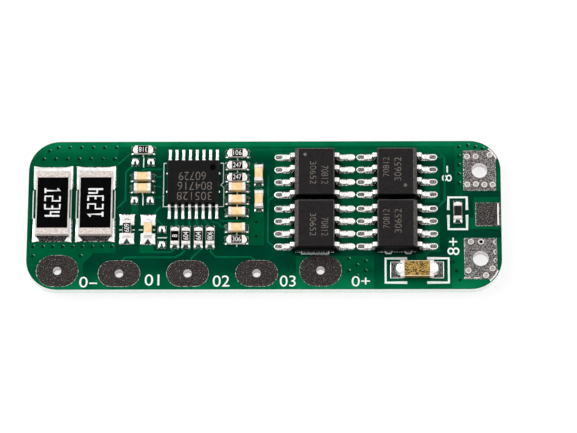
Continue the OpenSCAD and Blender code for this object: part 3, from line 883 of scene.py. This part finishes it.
# %% Tracks
TRACKS = [
    [(-12.9, 6.3), (-14.1, 5.2)],
    [(-12.7, 5.0), (-13.35, 4.4), (-13.35, 1.5), (-14.2, 0.65)],
    [(-11.8, 4.5), (-11.6, 4.65), (-9.5, 4.65)],
    [(-10.5, 3.9), (-9.9, 3.9)],
    [(-10.5, 2.9), (-9.9, 2.9)],
    [(-10.6, 1.8), (-9.5, 1.8)],
    [(-10.6, 0.1), (-9.9, 0.9)],
    [(-10.6, -0.5), (-10.3, -0.5), (-9.75, -1.0), (-9.78, -1.2)],
    [(-11.85, -3.75), (-8.9, -3.75), (-8.55, -3.45)],
    [(-13.5, -4.6), (-13.3, -4.27), (-8.5, -4.27), (-7.9, -3.95), (-7.5, -3.5)],
    [(-6.2, -3.45), (-6.2, -3.65), (-6.9, -4.35), (-7.0, -4.6)],
    [(-5.1, -3.4), (-5.1, -3.7), (-4.6, -4.25), (-1.25, -4.25), (-0.85, -4.6)],
    [(-8.43, -0.4), (-8.43, -1.2)],
    [(-7.15, -0.4), (-7.15, -1.2)],
    [(-6.5, -0.4), (-6.3, -1.15)],
    [(-5.85, -0.35), (-5.25, -1.1)],
    [(-5.2, -0.4), (-4.9, -0.75), (-4.5, -0.75), (-4.1, -1.2), (-3.7, -1.3)],
    [(-4.5, -0.2), (-4.1, -0.6), (-2.1, -0.6)],
    [(0.38, 4.0), (0.38, -2.7), (0.95, -3.2)],
    [(0.38, 1.4), (0.95, 1.9)],
    [(-1.2, 6.6), (2.7, 6.6)],
    [(16.0, 7.0), (17.1, 6.0), (17.35, 5.8), (17.35, 1.4), (16.75, 0.8)],
    [(16.75, 5.8), (17.1, 5.8)],
]
TRACK_WIDTH, TRACK_RISE = 0.2, 0.03
attach(lines(TRACKS, TRACK_WIDTH, TRACK_RISE, "tracks"), trace_mask)

# %% [markdown]
# ## Rims of the bare pads
#
# The mask stops just short of each bare pad and leaves a hair of pale metal round it. The rims
# are outlines drawn as lines: two half circles and two straights for a cell pad, and the
# corners of the box for the others. An output pad has its outer corner cut off.

# %% Pad rims
OUTER_CUT = 0.7
rims = []
for i in range(1, 6):
    low, high = box_mm(f"cell_pad_{i}")
    rims.append(obround(low[0], high[0], low[1], high[1]))
for node, side in (("output_pad_upper", 1), ("output_pad_lower", -1), ("charge_pad", 0)):
    (x0, y0, _), (x1, y1, _) = box_mm(node)
    inner, outer = (y1, y0) if side < 0 else (y0, y1)
    corner = [(x1, outer)]
    if side:
        corner = [(x1, outer - side * OUTER_CUT), (x1 - OUTER_CUT * 0.8, outer)]
    rims.append([(x0, inner), (x1, inner), *corner, (x0, outer)])
RIM_WIDTH, RIM_RISE = 0.09, 0.045
pad_rims = lines([[*outline, outline[0]] for outline in rims], RIM_WIDTH, RIM_RISE, "pad_rims")
attach(pad_rims, land_tin)

# %% [markdown]
# ## Rings and plugs of the open vias
#
# Small plated vias ring the output pads. Each has a raised ring of tin, and all but one are
# filled with a little dome of solder. A torus gives the ring. The dome starts as a circle whose
# middle is raised by two insets. Along the pad's edge the drill cut some rings in half.

# %% Via rings and plugs
UNFILLED = 8
RING_RADIUS, RING_WIRE = 0.235, 0.055
clear()
bpy.ops.mesh.primitive_torus_add(
    major_segments=24,
    minor_segments=8,
    major_radius=RING_RADIUS * MM,
    minor_radius=RING_WIRE * MM,
    location=at(0, 0, LAND_TOP + 0.05),
)
ring = settle(bpy.context.object)
rings = [copy_to(ring, x, y) for x, y in OPEN_VIAS]
remove(ring)
halves = [arc(22.2, y, 0.22, 90, 270) for y in (-2.8, -3.8, -4.65)]
halves += [arc(x, -6.46, 0.12, 0, 180, 4) for x in (19.25, 19.6, 20.2, 20.5)]
rings.append(lines(halves, 0.09, 0.04, "half_rings", LAND_TOP))
attach(smooth(joined(rings, "via_rings")), end_tin)

plug = disc(16, 0.175, 0, 0, LAND_TOP + 0.01)
step_middle(((0.06, 0.03), (0.06, 0.015)))
plugs = [copy_to(plug, x, y) for k, (x, y) in enumerate(OPEN_VIAS) if k != UNFILLED]
remove(plug)
attach(smooth(joined(plugs, "via_plugs")), via_tin)

# %% [markdown]
# The drill left one via open and dark, the charge pad ends in a bright strip at the board's
# end, and the two outer corners of the output pads are cut by a bright arc. Each covered via
# at the board's ends, and those beside the last cell pad, have a small glint on the far lip.

# %% Bright edges and glints
attach(named(disc(20, 0.166, *OPEN_VIAS[UNFILLED], LAND_TOP - 0.1), "open_via_shadow"), glaze)
CUT_RADIUS = 2.85
pad_edges = lines(
    [
        [(22.45, -1.1), (22.45, 1.1)],
        arc(CORNER_X, CORNER_Y, CUT_RADIUS, 24, 50),
        arc(CORNER_X, -CORNER_Y, CUT_RADIUS, -50, -24),
    ],
    0.15, 0.035, "pad_edges", LAND_TOP,
)
attach(pad_edges, end_tin)
GLINTING = [(x, y) for x, y in VIAS if (abs(x) > 14 and y > 2) or x < -14 or (7 < x < 11 and y < -4)]
via_glints = lines([arc(x, y, 0.21, 20, 70, 3) for x, y in GLINTING], 0.055, 0.02, "via_glints", COPPER_TOP)
attach(via_glints, glint_mask)

# %% [markdown]
# ## White print
#
# The board's print shows where parts sit: lines beside the shunts, a bracket with a notch round
# the control circuit, a short dash across each chip place, a broken line under the front edge
# of the switching circuits, and heavy brackets round the protector and the last resistor.
# Thin lines and heavy ones are drawn in two goes.

# %% Printed lines
THIN_PRINT = [
    [(-22.25, 2.5), (-22.25, -0.35)],
    [(-18.6, 2.6), (-18.6, -0.5)],
    [(-18.07, 2.5), (-18.07, -0.4)],
    [(-14.38, 2.5), (-14.38, -0.4)],
    [(-11.67, 5.85), (-11.67, 4.85)],
    [(-11.67, 1.95), (-11.67, 0.98)],
    [(-10.2, -2.3), (-9.3, -2.3)],
    [(-13.9, -1.5), (-13.62, -1.5)],
    [(-12.68, -1.5), (-12.4, -1.5)],
    [(-12.0, -1.5), (-11.62, -1.5)],
    [(-10.65, -1.5), (-10.45, -1.5)],
    [(-9.45, 5.27), (-9.7, 5.27), (-9.7, 2.12)],
    [
        (-9.7, 2.04), (-9.7, 0.85), (-3.9, 0.85), (-3.9, 2.8), (-4.2, 3.05), (-3.95, 3.3), (-3.95, 5.27),
        (-4.25, 5.27),
    ],
    [(3.6, -3.6), (3.6, -3.95), (6.2, -3.95), (6.2, -3.6)],
    [(11.55, -3.6), (11.7, -3.92), (12.15, -3.92), (12.3, -3.6)],
    [(13.45, -3.6), (13.6, -3.92), (14.05, -3.92), (14.2, -3.6)],
]
DASHES = [(-11.72, 6.54), (-11.72, 2.61)] + [(-2.6, y) for y in (6.18, 4.93, 2.66, 1.42, 0.18, -1.43, -2.6)]
THIN_PRINT += [[(x, y - 0.62), (x, y - 0.34)] for x, y in DASHES]
THIN_WIDTH, THIN_RISE = 0.115, 0.04
thin_print = lines(THIN_PRINT, THIN_WIDTH, THIN_RISE, "thin_print")
foot_marks = []
MARKS_IN_ROW = 24
for node in SWITCHES:
    low, high = box_mm(node + "_body")
    y = low[1] + 0.02
    for k in range(MARKS_IN_ROW):
        x = low[0] + 0.1 + k * (high[0] - low[0] - 0.2) / MARKS_IN_ROW
        foot_marks.append([(x, y), (x + 0.05 + 0.04 * (k % 3), y)])
dotted_print = lines(foot_marks, 0.06, 0.02, "dotted_print")
HEAVY_PRINT = [
    [(13.7, -4.42), (11.64, -4.42), (11.64, -6.84), (13.7, -6.84)],
    [(15.6, -4.42), (17.66, -4.42), (17.66, -6.84), (15.6, -6.84)],
    [(17.69, 0.45), (17.69, 1.73), (19.46, 1.73), (19.46, 0.45)],
    [(17.69, -0.05), (17.69, -1.49), (19.46, -1.49), (19.46, -0.05)],
]
HEAVY_WIDTH, HEAVY_RISE = 0.27, 0.025
heavy_print = lines(HEAVY_PRINT, HEAVY_WIDTH, HEAVY_RISE, "heavy_print")

# %% [markdown]
# Round each pair of chip lands the print leaves two small arcs, which stop just short of the
# solder. An arc is a short route on a circle.

# %% Printed arcs
CHIPS = [f"resistor_{i}" for i in range(1, 10)] + [f"capacitor_{i}" for i in range(1, 9)]
LAND_PLACE = 0.78
ARC_RADIUS = 0.52
arcs = []
for node in CHIPS:
    x, y = middle(node)
    for side, base in ((-1, 180), (1, 0)):
        if lies_along(node):
            cx, cy = x + side * LAND_PLACE, y
        else:
            cx, cy, base = x, y + side * LAND_PLACE, base + 90
        arcs.append(arc(cx, cy, ARC_RADIUS, base - 62, base - 28))
        arcs.append(arc(cx, cy, ARC_RADIUS, base + 28, base + 62))
arc_print = lines(arcs, 0.045, 0.018, "arc_print")
attach(joined([thin_print, heavy_print, dotted_print], "white_lines"), print_white)
attach(arc_print, glint_mask)

# %% [markdown]
# ## Words made plain
#
# Labels are Text objects, made into meshes, fitted to a box and laid on a surface. On this
# board they are plain numbers with a plus or a minus, so they name no maker and no type.


# %% Label helper
TEXT_DEPTH = 0.004


def label(text, x0, x1, y0, y1, height, turn=0, thinner=0.0):
    """Text fitted into a box in millimetres, read at a turn in degrees."""
    clear()
    bpy.ops.object.text_add(location=(0, 0, 0))
    words = bpy.context.object
    words.data.body = text
    words.data.size = MM
    words.data.extrude = TEXT_DEPTH * MM
    words.data.offset = -thinner * MM
    bpy.ops.object.convert(target="MESH")
    words = bpy.context.object
    words.rotation_euler = (0, 0, math.radians(turn))
    settle(words)
    xs = [v.co.x for v in words.data.vertices]
    ys = [v.co.y for v in words.data.vertices]
    wide, tall = max(xs) - min(xs), max(ys) - min(ys)
    sx, sy = (x1 - x0) * MM / wide, (y1 - y0) * MM / tall
    words.scale = (sx, sy, 1)
    words.location = (
        (x0 + x1) / 2 * MM - (max(xs) + min(xs)) / 2 * sx,
        (y0 + y1) / 2 * MM - (max(ys) + min(ys)) / 2 * sy,
        (height + TEXT_DEPTH) * MM,
    )
    return settle(words)


# %% Labels printed on the board
LABELS = [
    ("0", -17.6, -16.8, -7.28, -6.22, COPPER_TOP),
    ("01", -11.35, -9.95, -7.1, -5.98, DECK),
    ("02", -4.85, -3.25, -7.22, -6.1, DECK),
    ("03", 1.55, 3.06, -7.22, -6.12, DECK),
    ("0+", 8.4, 10.15, -7.22, -6.2, COPPER_TOP),
    ("8", 17.1, 18.05, 3.35, 4.05, DECK, 90),
    ("8+", 17.55, 18.7, -4.1, -2.35, COPPER_TOP, 90),
]
MINUS_SIGNS = [[(-16.65, -6.86), (-15.9, -6.86)], [(17.62, 4.25), (17.62, 4.95)]]
words = [label(*row) for row in LABELS]
words.append(lines(MINUS_SIGNS, 0.14, 0.02, "minus_signs"))
attach(joined(words, "board_labels"), print_white)

# %% [markdown]
# ## Marks on the shunts
#
# The shunts carry large square-cut figures. They are drawn as routes, like a sign painter's
# block figures, and pressed flat on the black glaze.

# %% Shunt figures
FIGURES = {
    "1": [[(0.15, 0.8), (0.5, 1), (0.5, 0)], [(0.1, 0), (0.9, 0)]],
    "2": [[(0.1, 1), (0.9, 1), (0.9, 0.5), (0.1, 0.5), (0.1, 0), (0.9, 0)]],
    "3": [[(0.1, 1), (0.9, 1), (0.9, 0), (0.1, 0)], [(0.35, 0.5), (0.9, 0.5)]],
    "4": [[(0.1, 1), (0.1, 0.4), (0.9, 0.4)], [(0.75, 1), (0.75, 0)]],
}


def figures(text, x, y, turn, tall=1.42, wide=0.6, gap=0.2):
    """Routes of block figures in a row, centred at a place and turned."""
    total = len(text) * wide + (len(text) - 1) * gap
    cos, sin = math.cos(math.radians(turn)), math.sin(math.radians(turn))
    made = []
    for k, mark in enumerate(text):
        for strokes in FIGURES[mark]:
            made.append([])
            for u, v in strokes:
                px = -total / 2 + k * (wide + gap) + u * wide
                py = (v - 0.5) * tall
                made[-1].append((x + px * cos - py * sin, y + px * sin + py * cos))
    return made


SHUNT_TOP = box_mm("shunt_1_overcoat")[1][2]
rows = figures("1234", *middle("shunt_1_overcoat"), -90) + figures("1234", *middle("shunt_2_overcoat"), 90)
attach(lines(rows, 0.18, 0.012, "shunt_figures", SHUNT_TOP), mark_white)

# %% [markdown]
# ## Marks on the chips and circuits
#
# Chip resistors carry three small white figures. The circuits carry rows of faint grey
# figures, burnt by a laser, and a dot by the first lead.

# %% Chip figures
CHIP_TOP = box_mm("resistor_overcoats")[1][2]
CHIP_FIGURES = ["318", "106", "247", "247", "306", "8", "604", "604", "806", "609"]
marks = []
for i, text in enumerate(CHIP_FIGURES, start=1):
    x, y = middle(f"resistor_{i}")
    half_long, half_tall = (0.4 if len(text) > 1 else 0.13), 0.25
    if lies_along(f"resistor_{i}"):
        dx, dy, turn = half_long, half_tall, 180 if i == 1 else 0
    else:
        dx, dy, turn = half_tall, half_long, 90
    marks.append(label(text, x - dx, x + dx, y - dy, y + dy, CHIP_TOP, turn))
attach(joined(marks, "chip_figures"), mark_white)

# %% Circuit figures
CONTROL_TOP = box_mm("controller_body")[1][2]
SWITCH_TOP = box_mm("switch_1_body")[1][2]
CONTROL_FIGURES = [
    ("60729", -8.2, -5.6, 3.18, 4.02),
    ("804716", -8.3, -5.0, 2.18, 3.0),
    ("305128", -8.35, -5.0, 1.16, 1.98),
]
LEFT_FIGURES = [("30652", -0.45, 0.15, -1.3, 1.0), ("70812", 0.65, 1.3, -1.3, 0.55)]
RIGHT_FIGURES = [("70812", -1.35, -0.75, -0.55, 1.4), ("30652", -0.25, 0.4, -1.0, 1.4)]
marks = [label(*row, CONTROL_TOP, 180, 0.014) for row in CONTROL_FIGURES]
for node in SWITCHES:
    x, y = middle(node + "_body")
    left = x < middle("switch_2_body")[0] - 1
    turn = -90 if left else 90
    for text, x0, x1, y0, y1 in LEFT_FIGURES if left else RIGHT_FIGURES:
        marks.append(label(text, x + x0, x + x1, y + y0, y + y1, SWITCH_TOP, turn, 0.012))
attach(joined(marks, "circuit_figures"), mark_grey)

# %% [markdown]
# The first lead of each circuit is marked on its top: by a round hollow left by the mould on
# the control circuit, and by a small pale dot on two of the switching circuits. The hollow is
# a dish whose middle was pushed down by an inset.

# %% First-lead marks
dish = disc(32, 0.34, -4.92, 4.47, CONTROL_TOP - 0.002)
step_middle(((0.03, -0.02), (0.08, -0.02)))
attach(named(dish, "control_hollow"), glaze)
DOT_HEIGHT = SWITCH_TOP + 0.004
dots = []
for x, y in ((3.95, 5.6), (13.55, 2.45)):
    dots.append(settle(drum(0.16, 0.008, x, y, DOT_HEIGHT)))
    open_mesh()
    pick(DOT_HEIGHT)
    bpy.ops.mesh.inset(thickness=0.05 * MM)
    close_mesh()
attach(joined(dots, "first_dots"), mark_grey)

# %% [markdown]
# ## Solder that has flowed
#
# Molten solder covers its land and rounds off at the shoulders. Each joint starts as a flat
# outline, gets a height, and a Bevel turns its edges into soft shoulders. Its level top mirrors
# the light overhead, and its shoulders mirror the darker surround, so every joint is drawn with
# a fine dark line. One joint is made for each kind and copied with its own mesh and a small
# seeded nudge.


# %% Puddle helper
def puddle(points, rise, soft, lift=0.0):
    """Solder that has run over an outline, with a height and soft shoulders, in millimetres."""
    obj = soften(plate(points, rise, LAND_TOP + lift), soft, 3, 30)
    bpy.ops.object.shade_smooth_by_angle(angle=math.radians(50))
    return settle(obj)


def flipped(points, x=1, y=1):
    """An outline with its X or Y turned round by -1."""
    return [(px * x, py * y) for px, py in points]


def both_sides(points):
    """An outline from one half of it, which starts on the -Y side and is mirrored to +Y."""
    return points + flipped(points, y=-1)[::-1]


# %% [markdown]
# ### Chip joints
#
# Every pattern points along +X, away from the chip. A thin film in the colour of shaded solder
# covers the land as painted shade. A flat resistor holds a bright lobe against its end. At the
# lower end of an upright chip the solder stands as two legs with painted shade between them. A
# tall capacitor keeps most of its slope in painted shade and shows only a bright drop at each
# near corner.

# %% Chip patterns
# The film is painted shade over the land.
film = puddle(block(0.4, 1.11, -0.395, 0.395), 0.02, 0.008)
lobe = puddle(oval(0.72, 0, 0.25, 0.38, -90, 90, 12), 0.3, 0.09)
LEG = [(0.74, 0.14), (0.74, 0.4), (1.12, 0.43), (1.13, 0.27), (0.96, 0.22)]
legs = [puddle(LEG, 0.15, 0.035), puddle(flipped(LEG, y=-1), 0.15, 0.035)]
DROP = [(0.86, 0.3), (0.92, 0.43), (1.12, 0.44), (1.1, 0.3), (0.98, 0.26)]
drops = [puddle(DROP, 0.1, 0.03), puddle(flipped(DROP, y=-1), 0.1, 0.03)]
WIDE_TOP = [
    (0.42, 0.68), (0.42, -0.68), (1.0, -0.66), (1.52, -0.76), (1.42, -0.3), (1.4, 0), (1.42, 0.3),
    (1.52, 0.76), (1.0, 0.66),
]
WIDE_FOOT = both_sides([(0.42, -0.68), (1.0, -0.66), (1.5, -0.74), (1.47, -0.32), (0.98, -0.04)])
wide_ends = [puddle(WIDE_TOP, 0.1, 0.03), puddle(WIDE_FOOT, 0.1, 0.03)]
wedge = puddle([(0.9, -0.06), (1.45, -0.4), (1.45, 0.4), (0.9, 0.06)], 0.03, 0.01)
wide_shades = [lines([arc(0.62, 0, 0.4, -70, 70)], 0.08, 0.02, "smile", LAND_TOP + 0.1), wedge]
heel_lobe = puddle(oval(0.7, 0, 0.2, 0.36, -90, 90, 12), 0.26, 0.08)
HORSESHOE = [
    (-0.24, 0.33), (-0.28, 0.1), (-0.35, -0.1), (-0.3, -0.36), (-0.12, -0.24), (-0.1, 0.02), (0.02, 0.1),
    (0.1, 0.0), (0.13, -0.28), (0.24, -0.3), (0.33, -0.12), (0.32, 0.12), (0.22, 0.32),
]
horseshoes = [puddle(HORSESHOE, 0.12, 0.035), puddle(flipped(HORSESHOE, x=-1), 0.12, 0.035)]

# %% Copy the patterns to every chip
bright, shaded = [], []


def solder_chip(node, seed, flat, wide):
    """Copy patterns to both ends of a chip: the upper or right end first, then the other."""
    x, y = middle(node)
    along = lies_along(node)
    for end in (0, 1):
        turn = 180 * end + (0 if along else 90)

        def put(pattern, wobble=0.004):
            return copy_to(pattern, x, y, turn, seed + end, wobble)

        if wide:
            bright.append(put(wide_ends[end]))
            shaded.append(put(wide_shades[end]))
            if flat:
                bright.append(put(heel_lobe))
            continue
        shaded.append(put(film))
        if flat and (along or not end):
            bright.append(put(lobe, 0.008))
        elif flat:
            bright.extend(put(leg, 0.008) for leg in legs)
        if along:
            bright.append(put(drops[1 - end], 0.01))
        elif end and not flat:
            bright.extend(put(drop, 0.01) for drop in drops)


for k in range(1, 12):
    solder_chip(f"resistor_{k}", k * 4, True, k == 10)
for k in range(1, 10):
    solder_chip(f"capacitor_{k}", 100 + k * 4, False, k == 9)
print(len(bright), "bright and", len(shaded), "shaded pieces of solder")

# %% [markdown]
# ### Empty lands
#
# Three places have lands but no part. Each land carries a small horseshoe of solder, open
# towards the near edge of the board, with shade inside it.

# %% Solder on empty lands
EMPTY = [(-11.72, 5.38, 0), (-11.72, 1.48, 0), (-9.78, -2.26, 90)]
LAND_MIDDLE = 0.76
for k, (x, y, turn) in enumerate(EMPTY):
    for side in (-1, 1):
        dx, dy = (0, side * LAND_MIDDLE) if turn else (side * LAND_MIDDLE, 0)
        bright.append(copy_to(horseshoes[side > 0], x + dx, y + dy, 0, 60 + 2 * k + side, 0.01))
        shaded.append(copy_to(film, x, y, turn + (0 if side > 0 else 180), k))
remove(film, lobe, *legs, *drops, *wide_ends, *wide_shades, heel_lobe, *horseshoes)
attach(joined(bright, "chip_joints"), solder, "chip_solder")
attach(joined(shaded, "chip_shades"), shade)

# %% [markdown]
# ### Shunt joints
#
# A shunt's lands are wider than the part. Solder stands as a bright strip past each end, with
# its outer edge drawn in between two pointed ears, and as a narrow band on both sides. On the
# near ends a dull speckled piece of painted shade lies between the ears.

# %% Shunt joints
low, high = box_mm("shunt_1_ends")
half_long = (high[1] - low[1]) / 2
half_wide = (high[0] - low[0]) / 2
lands_low, lands_high = box_mm("shunt_lands")
half_land = (lands_high[1] - lands_low[1]) / 2
SIDE = 1.84
EAR = 0.04
BAND = half_long - 1.75
far_half = [
    (half_long - 0.02, -half_wide), (BAND, -half_wide - 0.02), (BAND, -SIDE),
    (half_land + 0.08, -SIDE - EAR),
    (half_land - 0.06, -1.2),
]
strip = puddle([*far_half, (half_land - 0.1, 0), *flipped(far_half, y=-1)[::-1]], 0.14, 0.04)
# The painted shade on the near end of each shunt.
near_shade_half = [(half_long + 0.02, -1.62), (half_long + 0.2, -1.42), (half_land - 0.05, -1.2)]
near_shade = puddle([*near_shade_half, (half_land - 0.09, 0), *flipped(near_shade_half, y=-1)[::-1]], 0.03, 0.01, 0.125)
strips, near_shades = [], []
for node in ("shunt_1_ceramic", "shunt_2_ceramic"):
    x, y = middle(node)
    strips += [copy_to(strip, x - 0.03, y, turn, int(turn + x), 0.02) for turn in (90, 270)]
    near_shades.append(copy_to(near_shade, x, y, 270, int(x), 0.02))
remove(strip, near_shade)
attach(joined(strips, "shunt_joints"), solder, "shunt_solder")

# %% [markdown]
# ### Switching circuit joints
#
# Each foot sits on a long land with round ends. On most lands the solder has pulled back to a
# bright ring round a dull middle, and on the inner row of the left circuits it stands as a full
# white dome. A second, lower heap lies at each heel.

# %% Switching circuit joints
SWITCH_PITCH = 1.27
dome = puddle(obround(2.98, 3.9, -0.31, 0.31, 8), 0.2, 0.12)
ring = puddle(obround(2.98, 3.9, -0.31, 0.31, 8), 0.1, 0.045)
core = puddle(obround(3.13, 3.81, -0.185, 0.185, 8), 0.02, 0.008, 0.09)
heel = puddle(obround(2.2, 2.75, -0.24, 0.24, 8), 0.12, 0.07)
neck = puddle(both_sides([(2.6, -0.2), (2.85, -0.16), (3.1, -0.24)]), 0.1, 0.04)
joints, cores = [], []
for k, node in enumerate(SWITCHES):
    x, y = middle(node + "_body")
    for pin in range(4):
        py = y + (pin - 1.5) * SWITCH_PITCH
        for turn in (0, 180):
            seed = k * 10 + pin + turn
            full = turn == 0 and k in (0, 2)
            pieces = (dome if full else ring, heel, neck)
            joints += [copy_to(one, x, py, turn, seed, 0.008) for one in pieces]
            if not full:
                cores.append(copy_to(core, x, py, turn, seed, 0.01))
remove(dome, ring, core, heel, neck)
attach(joined(joints, "switch_joints"), solder, "switch_solder")
# The near ends' painted shade.
attach(joined(near_shades, "shaded_near_ends"), dull)
attach(joined(cores, "switch_cores"), dull_core)

# %% [markdown]
# ### Control circuit joints
#
# The control circuit's feet are only a fifth of a millimetre wide. Solder lies in a narrow
# ridge round each foot and bulges a little at its heel.

# %% Control circuit joints
CONTROL_PITCH = 0.65
cx, cy = middle("controller_body")
bar = puddle(both_sides([(2.66, -0.08), (2.86, -0.09), (3.1, -0.12), (3.53, -0.15)]), 0.16, 0.035)
knob = puddle(oval(2.5, 0, 0.2, 0.165), 0.2, 0.07)
joints = []
for pin in range(8):
    px = cx + (pin - 3.5) * CONTROL_PITCH
    for turn in (90, 270):
        joints += [copy_to(one, px, cy, turn, pin + turn) for one in (bar, knob)]
remove(bar, knob)
attach(joined(joints, "controller_joints"), solder, "controller_solder")

# %% [markdown]
# ### Protector joints
#
# The protector's lands are generous and the solder heaps up in a round white mass at each end.

# %% Protector joints
low, high = box_mm("protector_ends")
half_long = (high[0] - low[0]) / 2
heap = puddle(oval(half_long + 0.04, 0, 0.44, 0.66), 0.72, 0.3)
outline = block(half_long - 0.2, half_long + 0.92, -0.8, 0.8)
rim = lines([[*outline, outline[0]]], 0.1, 0.05, "rim", LAND_TOP)
joints = [
    copy_to(
        one, PROTECTOR_X, PROTECTOR_Y, turn, 3 + turn, 0.015) for one in (heap, rim) for turn in (0, 180
    )
]
remove(heap, rim)
attach(joined(joints, "protector_joints"), solder, "protector_solder")

# %% [markdown]
# A brown and gold coat covers the middle of the protector's top and leaves a cream border.

# %% Protector coat
COAT_CORNER = 0.16
low, high = box_mm("protector_body")
x0, x1 = low[0] + 0.14 + COAT_CORNER, high[0] - 0.14 - COAT_CORNER
y0, y1 = low[1] + 0.08 + COAT_CORNER, high[1] - 0.08 - COAT_CORNER
outline = []
for x, y, start in ((x1, y1, 0), (x0, y1, 90), (x0, y0, 180), (x1, y0, 270)):
    outline += arc(x, y, COAT_CORNER, start, start + 90, 4)
coat = named(soften(plate(outline, 0.02, high[2]), 0.006, 2, 50), "protector_coat")
attach(settle(coat), speckled)

# %% [markdown]
# ## Floor, light and camera
#
# The board lies on a plain white floor. Two large soft lamps and an even surround light it at
# a level where a colour looks as it was chosen. The surround is white at the horizon and
# darker overhead, as in a light tent with an open top, which keeps flat black parts black
# while rounded solder still finds something bright to mirror. For the eye, and in mirror
# reflections, part of the floor's white is its own glow, so the background stays clean and
# the shadow stays soft.

# %% Floor
clear()
bpy.ops.mesh.primitive_plane_add(size=6, location=at(0, 0, -0.02))
floor = bpy.context.object
floor.name = "floor"
floor_paper = bpy.data.materials.new("floor paper")
floor_paper.use_nodes = True
tree = floor_paper.node_tree
tree.nodes.clear()
plain = tree.nodes.new("ShaderNodeBsdfDiffuse")
plain.inputs["Color"].default_value = (0.8, 0.8, 0.8, 1)
seen = tree.nodes.new("ShaderNodeBsdfDiffuse")
seen.inputs["Color"].default_value = (0.28, 0.28, 0.28, 1)
glow = tree.nodes.new("ShaderNodeEmission")
glow.inputs["Strength"].default_value = 0.74
both = tree.nodes.new("ShaderNodeAddShader")
rays = tree.nodes.new("ShaderNodeLightPath").outputs
mirrored = arithmetic(tree, "MAXIMUM", rays["Is Camera Ray"], rays["Is Glossy Ray"])
looked_at = arithmetic(tree, "MAXIMUM", mirrored, rays["Is Transmission Ray"])
switch = tree.nodes.new("ShaderNodeMixShader")
surface = tree.nodes.new("ShaderNodeOutputMaterial")
link(
    tree,
    (seen.outputs[0], both.inputs[0]),
    (glow.outputs[0], both.inputs[1]),
    (looked_at, switch.inputs[0]),
    (plain.outputs[0], switch.inputs[1]),
    (both.outputs[0], switch.inputs[2]),
    (switch.outputs[0], surface.inputs["Surface"]),
)
floor.data.materials.append(floor_paper)
print("floor ready")

# %% Surround
world = bpy.data.worlds.new("surround")
bpy.context.scene.world = world
world.use_nodes = True
tree = world.node_tree
background = tree.nodes["Background"]
background.inputs["Color"].default_value = (1, 1, 1, 1)
up = coordinate(tree, "Generated", "Z")
north = coordinate(tree, "Generated", "Y")
light_level = arithmetic(
    tree, "MULTIPLY", fade(tree, up, 0, 1, 1.0, 0.25), fade(tree, north, -0.9, 0.2, 0.6, 1.0)
)
mirror_level = arithmetic(
    tree, "MAXIMUM", fade(tree, up, 0.35, 0.85, 0.05, 1.0), fade(tree, north, 0.45, 0.85, 0.05, 1.0)
)
rays = tree.nodes.new("ShaderNodeLightPath").outputs
chosen = tree.nodes.new("ShaderNodeMix")
link(
    tree,
    (rays["Is Glossy Ray"], chosen.inputs[0]),
    (light_level, chosen.inputs[2]),
    (mirror_level, chosen.inputs[3]),
    (chosen.outputs[0], background.inputs["Strength"]),
)
print("surround ready")


# %% Lamps
LAMP_DISTANCE = 0.7


def soft_lamp(name, azimuth, elevation, size, watts):
    """A square soft lamp that looks at the board."""
    a, e = math.radians(azimuth), math.radians(elevation)
    spot = Vector((math.cos(a) * math.cos(e), math.sin(a) * math.cos(e), math.sin(e))) * LAMP_DISTANCE
    bpy.ops.object.light_add(type="AREA", location=spot)
    lamp = bpy.context.object
    lamp.name = name
    lamp.data.size = size
    lamp.data.energy = watts
    lamp.rotation_euler = (-spot).to_track_quat("-Z", "Y").to_euler()
    return lamp


soft_lamp("key lamp", 150, 38, 0.6, 3.4)
soft_lamp("fill lamp", 20, 36, 0.6, 1.9)
soft_lamp("front lamp", -88, 9, 0.4, 2.2).visible_glossy = False
print("lamps ready")

# %% Camera
CAMERA_DISTANCE = 311.85
FOCAL_LENGTH = 202.70
elevation, azimuth, roll = math.radians(71.291), math.radians(3.780), math.radians(-3.7025)
level = math.cos(elevation)
backward = Vector((math.sin(azimuth) * level, -math.cos(azimuth) * level, math.sin(elevation)))
rightward = Vector((math.cos(azimuth), math.sin(azimuth), 0))
upward = backward.cross(rightward)
across = math.cos(roll) * rightward + math.sin(roll) * upward
above = -math.sin(roll) * rightward + math.cos(roll) * upward
target = Vector((2.346, -0.172, DECK)) * MM
stand = target + backward * CAMERA_DISTANCE * MM
clear()
bpy.ops.object.camera_add(location=stand)
camera = bpy.context.object
camera.name = "camera"
turned = Matrix((across, above, backward)).transposed().to_4x4()
turned.translation = stand
camera.matrix_world = turned
camera.data.lens = FOCAL_LENGTH
camera.data.sensor_width = 36
camera.data.clip_start = 0.01
camera.data.clip_end = 20
bpy.context.scene.camera = camera
bpy.context.scene.view_settings.view_transform = "Standard"
print("camera at", [round(c, 4) for c in stand])

# %% Finish: clear the selection
clear()
